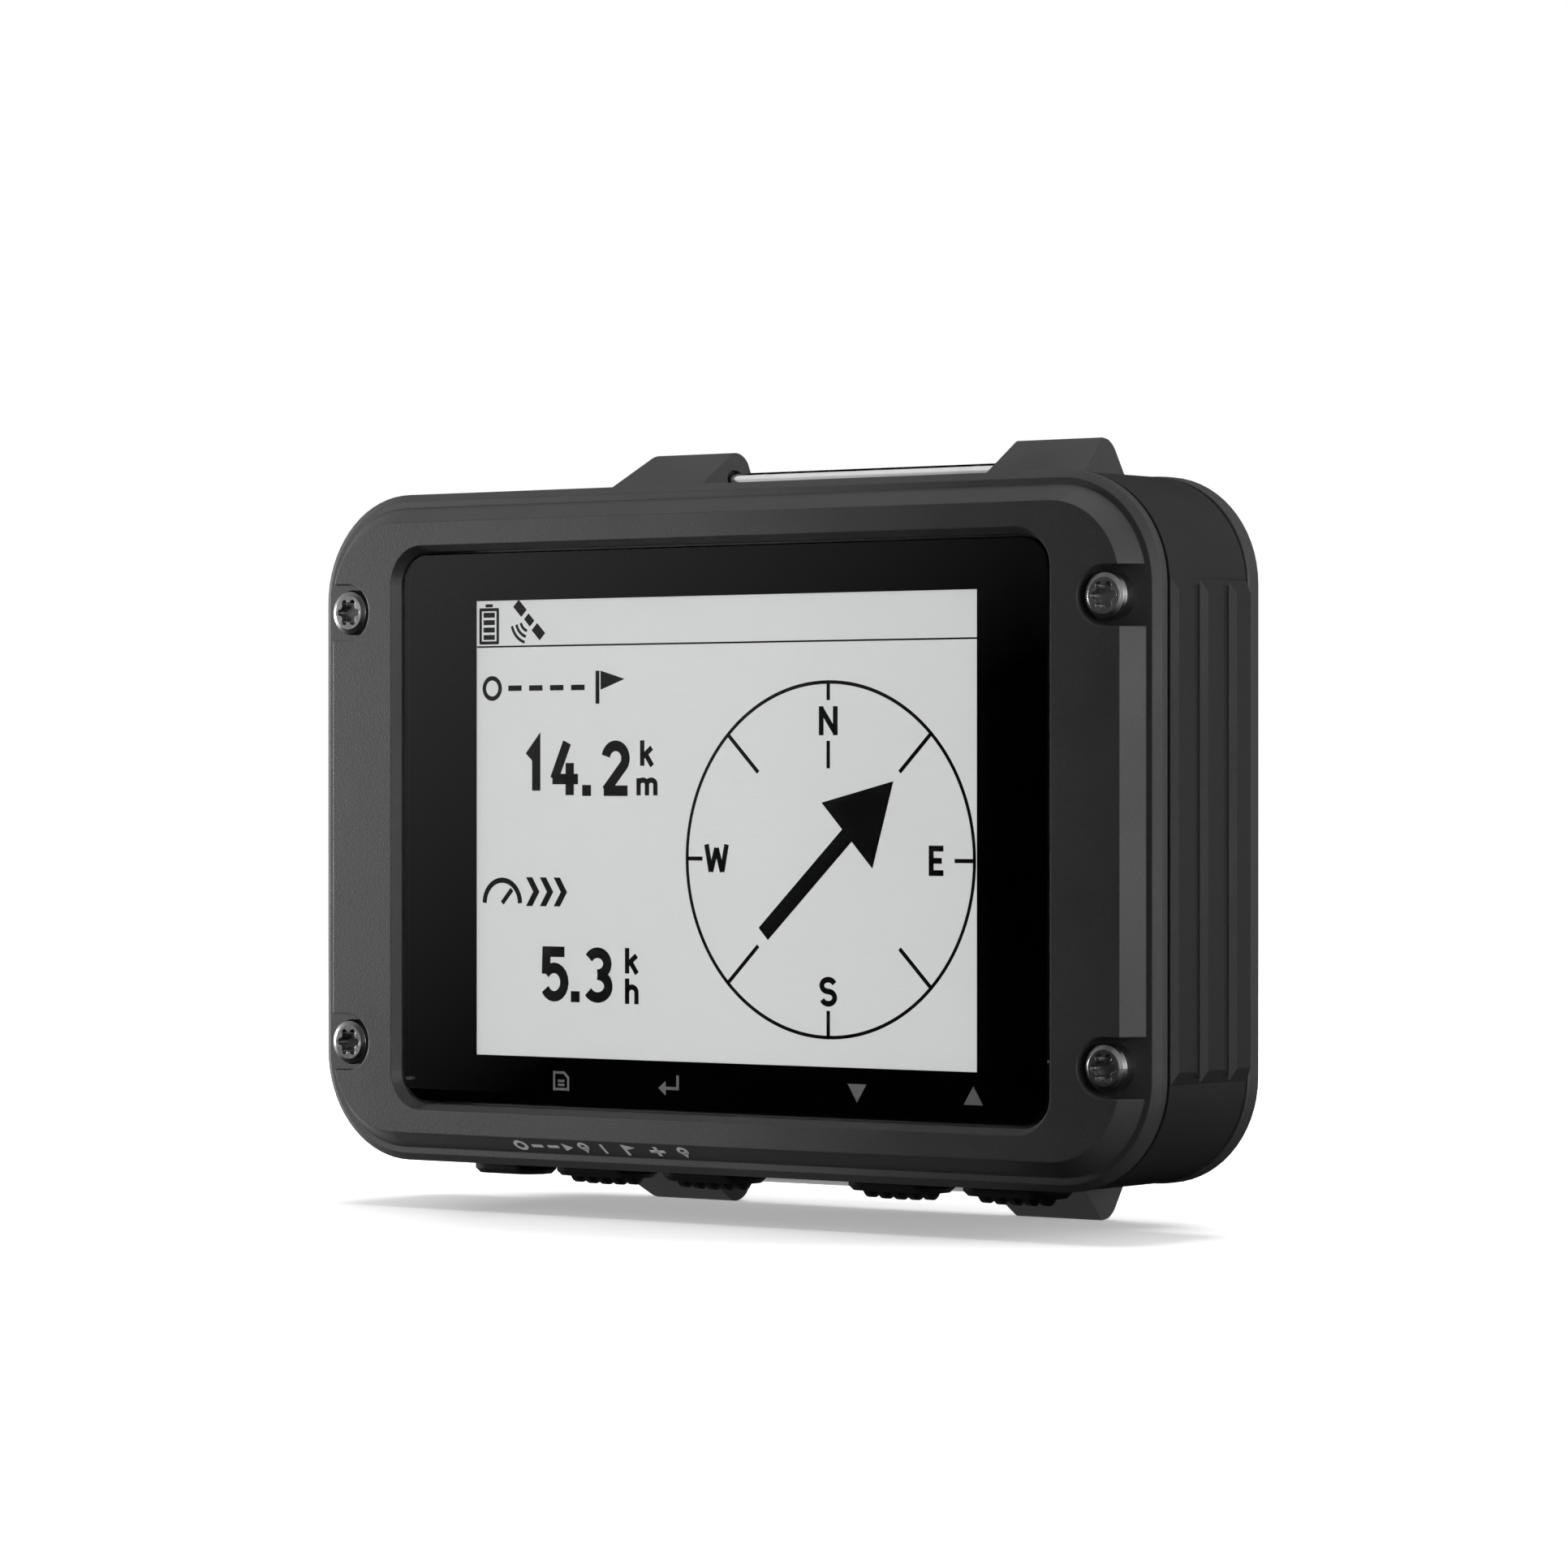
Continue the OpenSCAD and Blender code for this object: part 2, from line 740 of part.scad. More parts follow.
// Tray that clamps the panel between the bezel and the board
module display_carrier() {
    inner_w = panel_half_w + tray_fit;
    inner_h = panel_half_h + tray_fit;
    flex_half = 6.5;
    color("#2b2b2c")
    difference() {
        box([-inner_w - tray_rim, -inner_h - tray_rim / 2, z_mid],
            [inner_w + tray_rim, inner_h + tray_rim / 2, z_board]);
        box([-inner_w, -inner_h, z_mid - past], [inner_w, inner_h, z_tray]);
        box([inner_w - past, -flex_half, z_mid - past], [inner_w + tray_rim + past, flex_half, z_tray]);
    }
}

// Printed lead from the panel's edge to the board
module display_flex() {
    thick = 0.15;
    half_l = 6;
    out = panel_half_w + tray_fit + tray_rim + 2 * thick;
    color("#c08a2c")
        rotate([90, 0, 0])
            linear_extrude(2 * half_l, center = true)
                polygon([[panel_half_w, z_mid + thick], [out + thick, z_mid + thick],
                    [out + thick, z_board], [out, z_board], [out, z_mid + 2 * thick],
                    [panel_half_w, z_mid + 2 * thick]]);
}

// Main circuit board, with a tongue that carries the socket
module main_board() {
    tongue_edge = 2.5;
    tongue_gap = 0.7;
    tongue = socket_w / 2 + tongue_edge;
    color("#1f5a3c")
    difference() {
        union() {
            box([-board_half_w, board_low, z_board], [board_half_w, board_high, z_parts]);
            box([-room_w + tongue_gap, -tongue, z_board], [-board_half_w + past, tongue, z_parts]);
        }
        at_board_screws()
            translate([0, 0, z_board - past])
                cylinder(r = board_screw_d / 2 + slack / 2, h = board_t + 2 * past);
    }
}

// Four screws that hold the board on its shelves
module board_screws() {
    color("#b9b9bb")
        at_board_screws()
            translate([0, 0, z_board - board_head_h])
                pan_screw(board_head_r, board_head_h, board_screw_d / 2,
                    board_head_h + board_t + board_screw_l - 2 * fit);
}

// Tinned can over the receiver
module shield_can() {
    can_r = 0.6;
    can_d = 0.54 * parts_room;
    color("#bfc2c4")
        translate([can_x, 0, 0])
            plain_slab(can_w / 2, can_h / 2, can_r, z_parts, z_parts + can_d);
}

// Loose chips beside the can
module board_chips() {
    chip_top = z_parts + 0.27 * parts_room;
    processor_w = 8;
    memory_w = 5;
    sensor_w = 4;
    right = can_x + can_w / 2 + chip_gap;
    left = can_x - can_w / 2 - chip_gap;
    color("#18181a") {
        box([right, chip_gap / 2, z_parts], [right + processor_w, chip_gap / 2 + processor_w, chip_top]);
        box([right, -chip_gap / 2 - memory_w, z_parts], [right + memory_w, -chip_gap / 2, chip_top]);
        box([left - sensor_w, -sensor_w / 2, z_parts], [left, sensor_w / 2, chip_top]);
    }
}

// Ceramic aerial above the battery tub
module gps_antenna() {
    deep = 4;
    tub_gap = 1.6;
    color("#d9cfae")
        box([-aerial_half, bay_half_h + tub_wall + tub_gap, z_parts],
            [aerial_half, board_high - part_edge, z_parts + deep]);
}

// Piezo sounder beside the aerial
module beeper() {
    beeper_r = 3.6;
    beeper_h = 2.2;
    port_r = 0.7;
    color("#1c1c1e")
        translate([board_half_w - 2 * chip_gap - beeper_r, board_high - beeper_r - part_edge, z_parts])
            difference() {
                cylinder(r = beeper_r, h = beeper_h);
                translate([0, 0, beeper_h / 2])
                    cylinder(r = port_r, h = beeper_h);
            }
}

// Socket for data and outside power, its mouth at the case's inner wall
module usb_socket() {
    shell = 0.3;
    back = 1;
    mouth = -room_w;
    deep = socket_l - back;
    tongue_t = 0.6;
    color("#c3c6c8") {
        difference() {
            box([mouth, -socket_w / 2, z_parts], [mouth + socket_l, socket_w / 2, z_parts + socket_h]);
            box([mouth - past, -socket_w / 2 + shell, z_parts + shell],
                [mouth + deep, socket_w / 2 - shell, z_parts + socket_h - shell]);
        }
        box([mouth + shell, -socket_w / 4, socket_z - tongue_t / 2],
            [mouth + deep, socket_w / 4, socket_z + tongue_t / 2]);
    }
}

// Soft cap over the socket, ribbed like the case, turning on its rounded lower end
module usb_cap() {
    plug_gap = 0.4;
    grip_edge = 0.8;
    grip_half = 0.5;
    grip_pitch = 0.6 * cap_half_h;
    axis_x = cap_side + cap_r;
    color("#1d1d1e") {
        translate([axis_x, cap_pivot, socket_z - cap_half_h])
            cylinder(r = cap_r, h = 2 * cap_half_h);
        box([cap_side, cap_pivot, socket_z - cap_half_h],
            [cap_side + cap_t, cap_top, socket_z + cap_half_h]);
        box([cap_side + cap_t - fit, -socket_w / 2 + plug_gap, socket_z - socket_h / 2 + plug_gap],
            [cap_side + cap_t + cap_plug_l, socket_w / 2 - plug_gap, socket_z + socket_h / 2 - plug_gap]);
        for (row = [-1, 0, 1])
            box([cap_side - rib_h, cap_pivot + 2 * grip_edge, socket_z + row * grip_pitch - grip_half],
                [cap_side + fit, cap_top - grip_edge, socket_z + row * grip_pitch + grip_half]);
    }
}

// Root of the cap's rubber strap, keyed into the case
module usb_cap_strap() {
    color("#1d1d1e")
        box([cap_side, cap_low, socket_z - cap_half_h - slack],
            [cap_side + cap_t + cap_gap, cap_low + cap_strap_l, socket_z + cap_half_h + slack]);
}

// Narrow board that carries the key switches
module key_board() {
    color("#1f5a3c")
        box([-key_board_half_w, -key_board_low, key_z - key_board_deep / 2],
            [key_board_half_w, -key_board_top, key_z + key_board_deep / 2]);
}

// One switch behind each key
module key_switches() {
    plunger_r = 0.8;
    color("#c9c9c9")
        for (key = ALL_KEYS)
            at_key(key[0]) {
                translate([-switch_w / 2, -switch_deep / 2, key_board_low])
                    cube([switch_w, switch_deep, switch_h]);
                translate([0, 0, switch_low - fit])
                    cylinder(r = plunger_r, h = plunger_h + fit);
            }
}

// Rubber strip that seals the keys to the case's bottom wall
module key_seal() {
    margin = 1.1;
    left = power_x - power_w / 2 - margin;
    right = up_x + key_w / 2 + margin;
    color("#2a2a2a")
    difference() {
        box([left, -room_h, key_z - key_deep / 2 - margin],
            [right, -seal_top, key_z + key_deep / 2 + margin]);
        for (key = ALL_KEYS)
            at_key(key[0])
                plain_slab(key[1] / 2 + slack, key_deep / 2 + slack, key_r + slack, seal_top - past,
                    room_h + past);
        key_posts(slack);
    }
}

// Stem and inner flange that keep a key in the case
module key_stem(width, low) {
    edge_w = 0.35;
    slab(width / 2, key_deep / 2, key_r, [[0, flange_top], [0, low - edge_w], [-edge_w, low]]);
    plain_slab(width / 2, key_deep / 2 + flange_proud, key_r, flange_top, flange_low);
}

// Crowned crest: a roller along the key, turned into ridges and half sunk in the collar
module key_crest() {
    pitch = crest_w / ridge_count;
    valley = crest_r - crest_sag - ridge_d;
    ridges = [for (ridge = [0:ridge_count - 1])
        let (
            left = ridge * pitch - crest_w / 2,
            share = (2 * left + pitch) / crest_w,
            tip_r = crest_r - crest_sag * share * share
        )
        each [[tip_r - ridge_d, left], [tip_r, left + pitch * ridge_share],
            [tip_r, left + pitch * (1 - ridge_share)]]];
    translate([0, 0, crest_low - crest_r])
        rotate([0, 90, 0])
            rotate_extrude()
                polygon(concat([[0, -crest_w / 2]], ridges, [[valley, crest_w / 2], [0, crest_w / 2]]));
}

// Black rubber key with a ridged crest
module ridged_key(place) {
    color("#141414")
        at_key(place) {
            key_stem(key_w, collar_low);
            key_crest();
        }
}

// Smooth power key
module power_key() {
    color("#141414")
        at_key(power_x)
            key_stem(power_w, collar_low + key_flat);
}

module page_key() { ridged_key(page_x); }

module enter_key() { ridged_key(enter_x); }

module down_key() { ridged_key(down_x); }

module up_key() { ridged_key(up_x); }

// Polished steel bar moulded into a pair of lugs
module strap_bar(level) {
    color("#d8dadc")
        translate([0, level * bar_y, bar_z])
            rotate([0, 90, 0])
                cylinder(d = bar_d, h = lug_gap + 2 * bar_hold, center = true);
}

module strap_bar_top() { strap_bar(1); }

module strap_bar_bottom() { strap_bar(-1); }

// Cover over the cells, with grip grooves at both ends and a boss at each screw
module battery_cover() {
    edge_w = 0.4;
    groove_w = 0.8;
    groove_d = 0.35;
    groove_half = 9;
    groove_edge = 3;
    inner = case_d - cover_t;
    color("#3d3d3e")
    difference() {
        union() {
            slab(cover_w / 2, cover_h / 2, cover_r,
                [[0, inner], [0, case_d - edge_w], [-edge_w, case_d]]);
            for (level = [-1, 1])
                translate([0, level * cover_screw_y, inner - cover_boss_h])
                    cylinder(r = cover_boss_r, h = cover_boss_h + fit);
        }
        for (level = [-1, 1])
            translate([0, level * cover_screw_y, 0]) {
                cylinder(r = cover_screw_r + 2 * fit, h = case_d + past);
                translate([0, 0, z_cover_head - fit])
                    cylinder(r = cover_screw_head_r + 2 * fit, h = case_d);
            }
        for (side = [-1, 1], row = [0:2])
            translate([side * (cover_w / 2 - groove_edge - 2 * groove_w * row), 0, case_d])
                cube([groove_w, 2 * groove_half, 2 * groove_d], center = true);
    }
}

// Seal in the groove under the cover's edge
module cover_seal() {
    color("#a04a30")
        cover_cord(0);
}

// Coin-slot screw that stays in the cover
module cover_screw(level) {
    slot_w = 1.1;
    slot_d = 0.8;
    tip = z_insert - insert_l + boss_gap;
    top = z_cover_head + cover_screw_head_h;
    break_w = 0.2;
    color("#9a9a9c")
        translate([0, level * cover_screw_y, 0])
            difference() {
                rotate_extrude()
                    polygon([[0, tip], [cover_screw_r - break_w, tip], [cover_screw_r, tip + break_w],
                        [cover_screw_r, z_cover_head], [cover_screw_head_r, z_cover_head],
                        [cover_screw_head_r, top - break_w], [cover_screw_head_r - break_w, top],
                        [0, top]]);
                translate([0, 0, top])
                    cube([2 * cover_screw_head_r + past, slot_w, 2 * slot_d], center = true);
            }
}

module cover_screw_top() { cover_screw(1); }

module cover_screw_bottom() { cover_screw(-1); }

// Brass inserts for the cover screws
module cover_inserts() {
    color("#b8923f")
        for (level = [-1, 1])
            translate([0, level * cover_screw_y, z_insert - insert_l])
                difference() {
                    cylinder(r = insert_r, h = insert_l);
                    translate([0, 0, -past])
                        cylinder(r = cover_screw_r + fit, h = insert_l + 2 * past);
                }
}

// AAA cell; turn is 1 with the tip to the right and -1 with the tip to the left
module cell(turn) {
    tip_r = 1.9;
    tip_l = 1.2;
    can_break = 0.5;
    base = -bay_half_w + contact_t + spring_l;
    color("#2f2f31")
        translate([0, turn * cell_y, z_cell])
            rotate([0, turn > 0 ? 0 : 180, 0])
                translate([base, 0, 0])
                    rotate([0, 90, 0])
                        rotate_extrude()
                            polygon([[0, 0], [cell_d / 2 - can_break, 0], [cell_d / 2, can_break],
                                [cell_d / 2, cell_l - tip_l - can_break],
                                [cell_d / 2 - can_break, cell_l - tip_l], [tip_r, cell_l - tip_l],
                                [tip_r, cell_l], [0, cell_l]]);
}

module battery_upper() { cell(1); }

module battery_lower() { cell(-1); }

// Points of one ring of the spring's wire, at a share of the way along it
function spring_ring(share, turns, wire_r, wide_r, narrow_r, length, sides) =
    let (
        angle = 360 * turns * share,
        coil_r = wide_r + (narrow_r - wide_r) * share,
        reach = wire_r + (length - 2 * wire_r) * share
    )
    [for (side = [0:sides - 1])
        let (
            turn = 360 * side / sides,
            out = coil_r + wire_r * cos(turn)
        )
        [reach + wire_r * sin(turn), out * cos(angle), out * sin(angle)]];

// Conical coil spring along x, from a wide foot to a narrow end
module cell_spring() {
    turns = 3;
    rings = 30;
    sides = 6;
    wire_r = 0.3;
    wide_r = 3.6;
    narrow_r = 2.5;
    points = [for (step = [0:rings])
        each spring_ring(step / rings, turns, wire_r, wide_r, narrow_r, spring_l, sides)];
    walls = [for (step = [0:rings - 1], side = [0:sides - 1])
        let (
            next = (side + 1) % sides,
            here = step * sides,
            there = here + sides
        )
        each [[here + side, here + next, there + side], [here + next, there + next, there + side]]];
    foot = [for (side = [1:sides - 2]) [0, side + 1, side]];
    end = rings * sides;
    head = [for (side = [1:sides - 2]) [end, end + side, end + side + 1]];
    polyhedron(points, concat(walls, foot, head));
}

// One spring at the flat end of each cell
module battery_springs() {
    color("#cfd2d4")
        for (turn = [1, -1])
            translate([0, turn * cell_y, z_cell])
                rotate([0, turn > 0 ? 0 : 180, 0])
                    translate([-bay_half_w + contact_t, 0, 0])
                        cell_spring();
}

// Contact plates at the ends of the bay; the right pair reach through to the board
module battery_contacts() {
    half_y = 4.2;
    half_z = 4.2;
    inner = bay_half_w - contact_t;
    color("#c9b77a") {
        box([-bay_half_w, -cell_y - half_y, z_cell - half_z], [-inner, cell_y + half_y, z_cell + half_z]);
        for (level = [-1, 1]) {
            box([inner, level * cell_y - half_y, z_cell - half_z],
                [bay_half_w, level * cell_y + half_y, z_cell + half_z]);
            box([inner, level * cell_y - tail_half, z_parts],
                [bay_half_w, level * cell_y + tail_half, z_cell]);
        }
    }
}

// Porous disc over the air-pressure sensor's port
module pressure_vent() {
    color("#5a5a5c")
        translate([screw_x, 0, z_plate - lip_d / 2])
            cylinder(r = screw_head / 2, h = lip_d / 2 - rear_head_sink);
}

stand() front_bezel();
stand() display_lens();
stand() lens_mask();
stand() front_seal();
stand() mid_case();
stand() rear_seal();
stand() rear_housing();
stand() bezel_screws();
stand() rear_screws();
stand() display_panel();
stand() backlight();
stand() display_carrier();
stand() display_flex();
stand() main_board();
stand() board_screws();
stand() shield_can();
stand() board_chips();
stand() gps_antenna();
stand() beeper();
stand() usb_socket();
stand() usb_cap();
stand() usb_cap_strap();
stand() key_board();
stand() key_switches();
stand() key_seal();
stand() power_key();
stand() page_key();
stand() enter_key();
stand() down_key();
stand() up_key();
stand() strap_bar_top();
stand() strap_bar_bottom();
stand() battery_cover();
stand() cover_seal();
stand() cover_screw_top();
stand() cover_screw_bottom();
stand() cover_inserts();
stand() battery_upper();
stand() battery_lower();
stand() battery_springs();
stand() battery_contacts();
stand() pressure_vent();
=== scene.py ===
import math

import bpy
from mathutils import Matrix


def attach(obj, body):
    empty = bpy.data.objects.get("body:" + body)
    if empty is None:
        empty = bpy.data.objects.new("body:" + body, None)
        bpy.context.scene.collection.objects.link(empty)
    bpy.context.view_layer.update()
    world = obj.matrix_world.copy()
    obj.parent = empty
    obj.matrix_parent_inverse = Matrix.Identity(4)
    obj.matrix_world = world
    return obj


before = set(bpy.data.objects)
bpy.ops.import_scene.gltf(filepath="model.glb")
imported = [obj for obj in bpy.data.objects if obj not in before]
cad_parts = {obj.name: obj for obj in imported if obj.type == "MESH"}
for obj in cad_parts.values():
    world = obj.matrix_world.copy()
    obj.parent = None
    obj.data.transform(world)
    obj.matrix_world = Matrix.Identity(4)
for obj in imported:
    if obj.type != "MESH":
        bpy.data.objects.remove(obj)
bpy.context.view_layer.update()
bpy.ops.object.select_all(action="DESELECT")


# Front bezel: the dark grey outer frame, moulded in fibre-filled plastic with a fine eroded skin.
# Four screws hold it on the middle case. Its two side faces are left bare.
def add_group(name, inputs, outputs):
    """A shader group with these sockets, and what goes into it and comes out of it."""
    tree = bpy.data.node_groups.new(name, "ShaderNodeTree")
    for label, kind, value in inputs:
        socket = tree.interface.new_socket(label, in_out="INPUT", socket_type="NodeSocket" + kind)
        socket.default_value = value
    for label, kind in outputs:
        tree.interface.new_socket(label, in_out="OUTPUT", socket_type="NodeSocket" + kind)
    given = tree.nodes.new("NodeGroupInput").outputs
    result = tree.nodes.new("NodeGroupOutput").inputs
    return tree, given, result


def put(tree, kind, inputs=None, **settings):
    """A shader node with its settings made and its inputs linked or set."""
    node = tree.nodes.new("ShaderNode" + kind)
    for name, value in settings.items():
        setattr(node, name, value)
    for key, value in (inputs or {}).items():
        if isinstance(value, bpy.types.NodeSocket):
            tree.links.new(value, node.inputs[key])
        else:
            node.inputs[key].default_value = value
    return node


def sum_of(tree, first, second, operation="ADD"):
    """The result of a sum on two values."""
    return put(tree, "Math", {0: first, 1: second}, operation=operation).outputs[0]


def mixed(tree, share, first, second):
    """The mix of two colours."""
    return put(tree, "Mix", {0: share, 6: first, 7: second}, data_type="RGBA").outputs[2]


def stretched(tree, value, low, high, to_low=0.0, to_high=1.0):
    """A value's stretch from low to high, mapped to another one."""
    limits = {"Value": value, "From Min": low, "From Max": high, "To Min": to_low, "To Max": to_high}
    return put(tree, "MapRange", limits).outputs["Result"]


def grey(value, alpha=1.0):
    """A neutral colour."""
    return (value, value, value, alpha)


def make_moulded_skin():
    """Group: fine eroded grain, faint clouds of tone and edges that are softened and rubbed paler."""
    tree, given, result = add_group(
        "moulded_skin",
        [("Hollows", "Color", grey(0.03)), ("Peaks", "Color", grey(0.05)), ("Rubbed", "Color", grey(0.1)),
         ("Grain Scale", "Float", 6000.0), ("Grain Depth", "Float", 0.00001),
         ("Edge Radius", "Float", 0.0001), ("Roughness", "Float", 0.5)],
        [("Colour", "Color"), ("Roughness", "Float"), ("Normal", "Vector")])
    spot = put(tree, "TexCoord").outputs["Object"]
    grain = put(tree, "TexNoise", {"Vector": spot, "Scale": given["Grain Scale"], "Detail": 3.0}).outputs[0]
    clouds = put(tree, "TexNoise", {"Vector": spot, "Scale": 110.0, "Detail": 5.0}).outputs[0]
    bevel = put(tree, "Bevel", {"Radius": given["Edge Radius"]}, samples=6).outputs[0]
    face = put(tree, "NewGeometry").outputs["Normal"]
    turn = put(tree, "VectorMath", {0: bevel, 1: face}, operation="DOT_PRODUCT").outputs["Value"]
    edge = stretched(tree, turn, 0.995, 0.8, 0.0, 0.45)
    tone = stretched(tree, sum_of(tree, grain, clouds), 0.7, 1.3)
    skin = mixed(tree, tone, given["Hollows"], given["Peaks"])
    tree.links.new(mixed(tree, edge, skin, given["Rubbed"]), result["Colour"])
    uneven = stretched(tree, clouds, 0.3, 0.7, -0.05, 0.05)
    polish = sum_of(tree, edge, 0.15, "MULTIPLY")
    dull = sum_of(tree, sum_of(tree, given["Roughness"], uneven), polish, "SUBTRACT")
    tree.links.new(dull, result["Roughness"])
    bump = put(tree, "Bump", {"Height": grain, "Distance": given["Grain Depth"], "Normal": bevel})
    tree.links.new(bump.outputs[0], result["Normal"])
    return tree


def new_material(name):
    """An empty material: its tree and its Principled shader."""
    material = bpy.data.materials.new(name)
    material.use_nodes = True
    tree = material.node_tree
    return material, tree, tree.nodes["Principled BSDF"]


def coat_with(tree, shader, group, values, links):
    """Places a group in a material, gives it its values and links its outputs to the shader."""
    node = put(tree, "Group", node_tree=group)
    for name, value in values.items():
        node.inputs[name].default_value = value
    for output, socket in links.items():
        tree.links.new(node.outputs[output], shader.inputs[socket])
    return node


def dress(material, *names):
    """Gives CAD nodes a material."""
    for name in names:
        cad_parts[name].data.materials.clear()
        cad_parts[name].data.materials.append(material)


moulded_skin = make_moulded_skin()
SKIN_LINKS = {"Colour": "Base Color", "Roughness": "Roughness", "Normal": "Normal"}
shell_plastic, tree, shader = new_material("shell_plastic")
coat_with(tree, shader, moulded_skin,
          {"Hollows": grey(0.036), "Peaks": grey(0.046), "Rubbed": grey(0.075), "Grain Scale": 7000.0,
           "Grain Depth": 0.000012, "Edge Radius": 0.00012, "Roughness": 0.5}, SKIN_LINKS)
shader.inputs["Specular IOR Level"].default_value = 0.25
dress(shell_plastic, "front_bezel", "rear_housing", "battery_cover")

# Lens: a flat window of hard-coated clear plastic, let into the bezel from the front.
# It is bonded to a black printed border, which also carries one small pale sign over each key.
lens_clear, tree, shader = new_material("lens_clear")
spot = put(tree, "TexCoord").outputs["Object"]
smears = put(tree, "TexNoise", {"Vector": spot, "Scale": 60.0, "Detail": 6.0}).outputs[0]
tree.links.new(stretched(tree, smears, 0.45, 0.75, 0.0, 0.015), shader.inputs["Roughness"])
shader.inputs["Base Color"].default_value = (0.96, 0.97, 0.97, 1.0)
shader.inputs["Transmission Weight"].default_value = 1.0
shader.inputs["IOR"].default_value = 1.45
dress(lens_clear, "display_lens")

mask_ink, tree, shader = new_material("mask_ink")
spot = put(tree, "TexCoord").outputs["Object"]
flow = put(tree, "TexNoise", {"Vector": spot, "Scale": 700.0, "Detail": 3.0}).outputs[0]
tree.links.new(mixed(tree, flow, grey(0.0012), grey(0.0024)), shader.inputs["Base Color"])
shader.inputs["Roughness"].default_value = 0.6
shader.inputs["Specular IOR Level"].default_value = 0.0
dress(mask_ink, "lens_mask")


def pale_ink(name, dark, light):
    """Printed ink with a slightly uneven cover."""
    material, tree, shader = new_material(name)
    spot = put(tree, "TexCoord").outputs["Object"]
    cover = put(tree, "TexNoise", {"Vector": spot, "Scale": 9000.0, "Detail": 3.0}).outputs[0]
    tree.links.new(mixed(tree, cover, dark, light), shader.inputs["Base Color"])
    shader.inputs["Roughness"].default_value = 0.6
    return material, tree, shader


MM = 0.001
MIDDLE_HEIGHT = 29.4
HALF_DEPTH = 11.8
PRINT_THICKNESS = 0.03


def stroke(points, width):
    """The outline of a stroke along a row of points, with mitred corners."""
    left = []
    right = []
    last = len(points) - 1
    for index, point in enumerate(points):
        sides = []
        for start in (max(index - 1, 0), min(index, last - 1)):
            along = (points[start + 1][0] - points[start][0], points[start + 1][1] - points[start][1])
            reach = math.hypot(*along)
            sides.append((-along[1] / reach, along[0] / reach))
        first, second = sides
        mitre = width / 2 / (1 + first[0] * second[0] + first[1] * second[1])
        aside = ((first[0] + second[0]) * mitre, (first[1] + second[1]) * mitre)
        left.append((point[0] + aside[0], point[1] + aside[1]))
        right.append((point[0] - aside[0], point[1] - aside[1]))
    return left + right[::-1]


def bar(start, end, width):
    """The outline of a straight stroke."""
    return stroke([start, end], width)


def curve(centre, reach, start, end, steps=16):
    """Points on part of an ellipse between two angles."""
    points = []
    for step in range(steps + 1):
        angle = math.radians(start + (end - start) * step / steps)
        points.append((centre[0] + reach[0] * math.cos(angle), centre[1] + reach[1] * math.sin(angle)))
    return points


def draw_shape(points):
    """A flat face with these corners, in millimetres."""
    bpy.ops.mesh.primitive_circle_add(vertices=len(points), radius=MM, fill_type="NGON")
    shape = bpy.context.object
    for vertex, point in zip(shape.data.vertices, points):
        vertex.co = (point[0] * MM, point[1] * MM, 0)
    return shape


def draw_ring(centre, radius, width):
    """A flat ring, in millimetres."""
    bpy.ops.mesh.primitive_circle_add(vertices=128, radius=radius * MM, fill_type="NGON",
                                      location=(centre[0] * MM, centre[1] * MM, 0))
    bpy.ops.object.transform_apply(location=True)
    bpy.ops.object.mode_set(mode="EDIT")
    bpy.ops.mesh.select_all(action="SELECT")
    bpy.ops.mesh.inset(thickness=width * MM)
    bpy.ops.mesh.delete(type="FACE")
    bpy.ops.object.mode_set(mode="OBJECT")
    return bpy.context.object


LETTERS = {
    "1": [[(0.1, 0.76), (0.7, 1.0), (0.7, 0.0)]],
    "2": [curve((0.5, 0.72), (0.5, 0.28), 170, -30) + [(0.0, 0.0)], [(-0.1, 0.0), (1.1, 0.0)]],
    "3": [curve((0.45, 0.755), (0.5, 0.245), 150, -90), curve((0.45, 0.255), (0.55, 0.255), 90, -150)],
    "4": [[(0.6, 1.08), (0.0, 0.26)], [(-0.08, 0.26), (1.1, 0.26)], [(0.72, -0.1), (0.72, 0.62)]],
    "5": [[(1.0, 1.0), (0.08, 1.0), (0.05, 0.5)], curve((0.47, 0.32), (0.53, 0.32), 145, -150)],
    "N": [[(0.0, -0.1), (0.0, 1.1)], [(0.0, 1.0), (1.0, 0.0)], [(1.0, -0.1), (1.0, 1.1)]],
    "E": [[(1.1, 1.0), (0.0, 1.0), (0.0, 0.0), (1.1, 0.0)], [(0.0, 0.5), (0.95, 0.5)]],
    "S": [curve((0.5, 0.755), (0.5, 0.245), 20, 270)[:-1] + curve((0.5, 0.255), (0.5, 0.255), 90, -160)],
    "W": [[(0.0, 1.1), (0.22, -0.05)], [(0.22, -0.05), (0.5, 0.95)], [(0.5, 0.95), (0.78, -0.05)],
          [(0.78, -0.05), (1.0, 1.1)]],
    "k": [[(0.0, -0.1), (0.0, 1.1)], [(0.0, 0.3), (1.0, 0.75)], [(0.35, 0.45), (1.05, -0.1)]],
    "m": [[(0.0, -0.15), (0.0, 1.15)], curve((0.25, 0.7), (0.25, 0.3), 180, 0) + [(0.5, -0.15)],
          curve((0.75, 0.7), (0.25, 0.3), 180, 0) + [(1.0, -0.15)]],
    "h": [[(0.0, -0.1), (0.0, 1.1)], curve((0.5, 0.45), (0.5, 0.25), 180, 0) + [(1.0, -0.1)]],
}


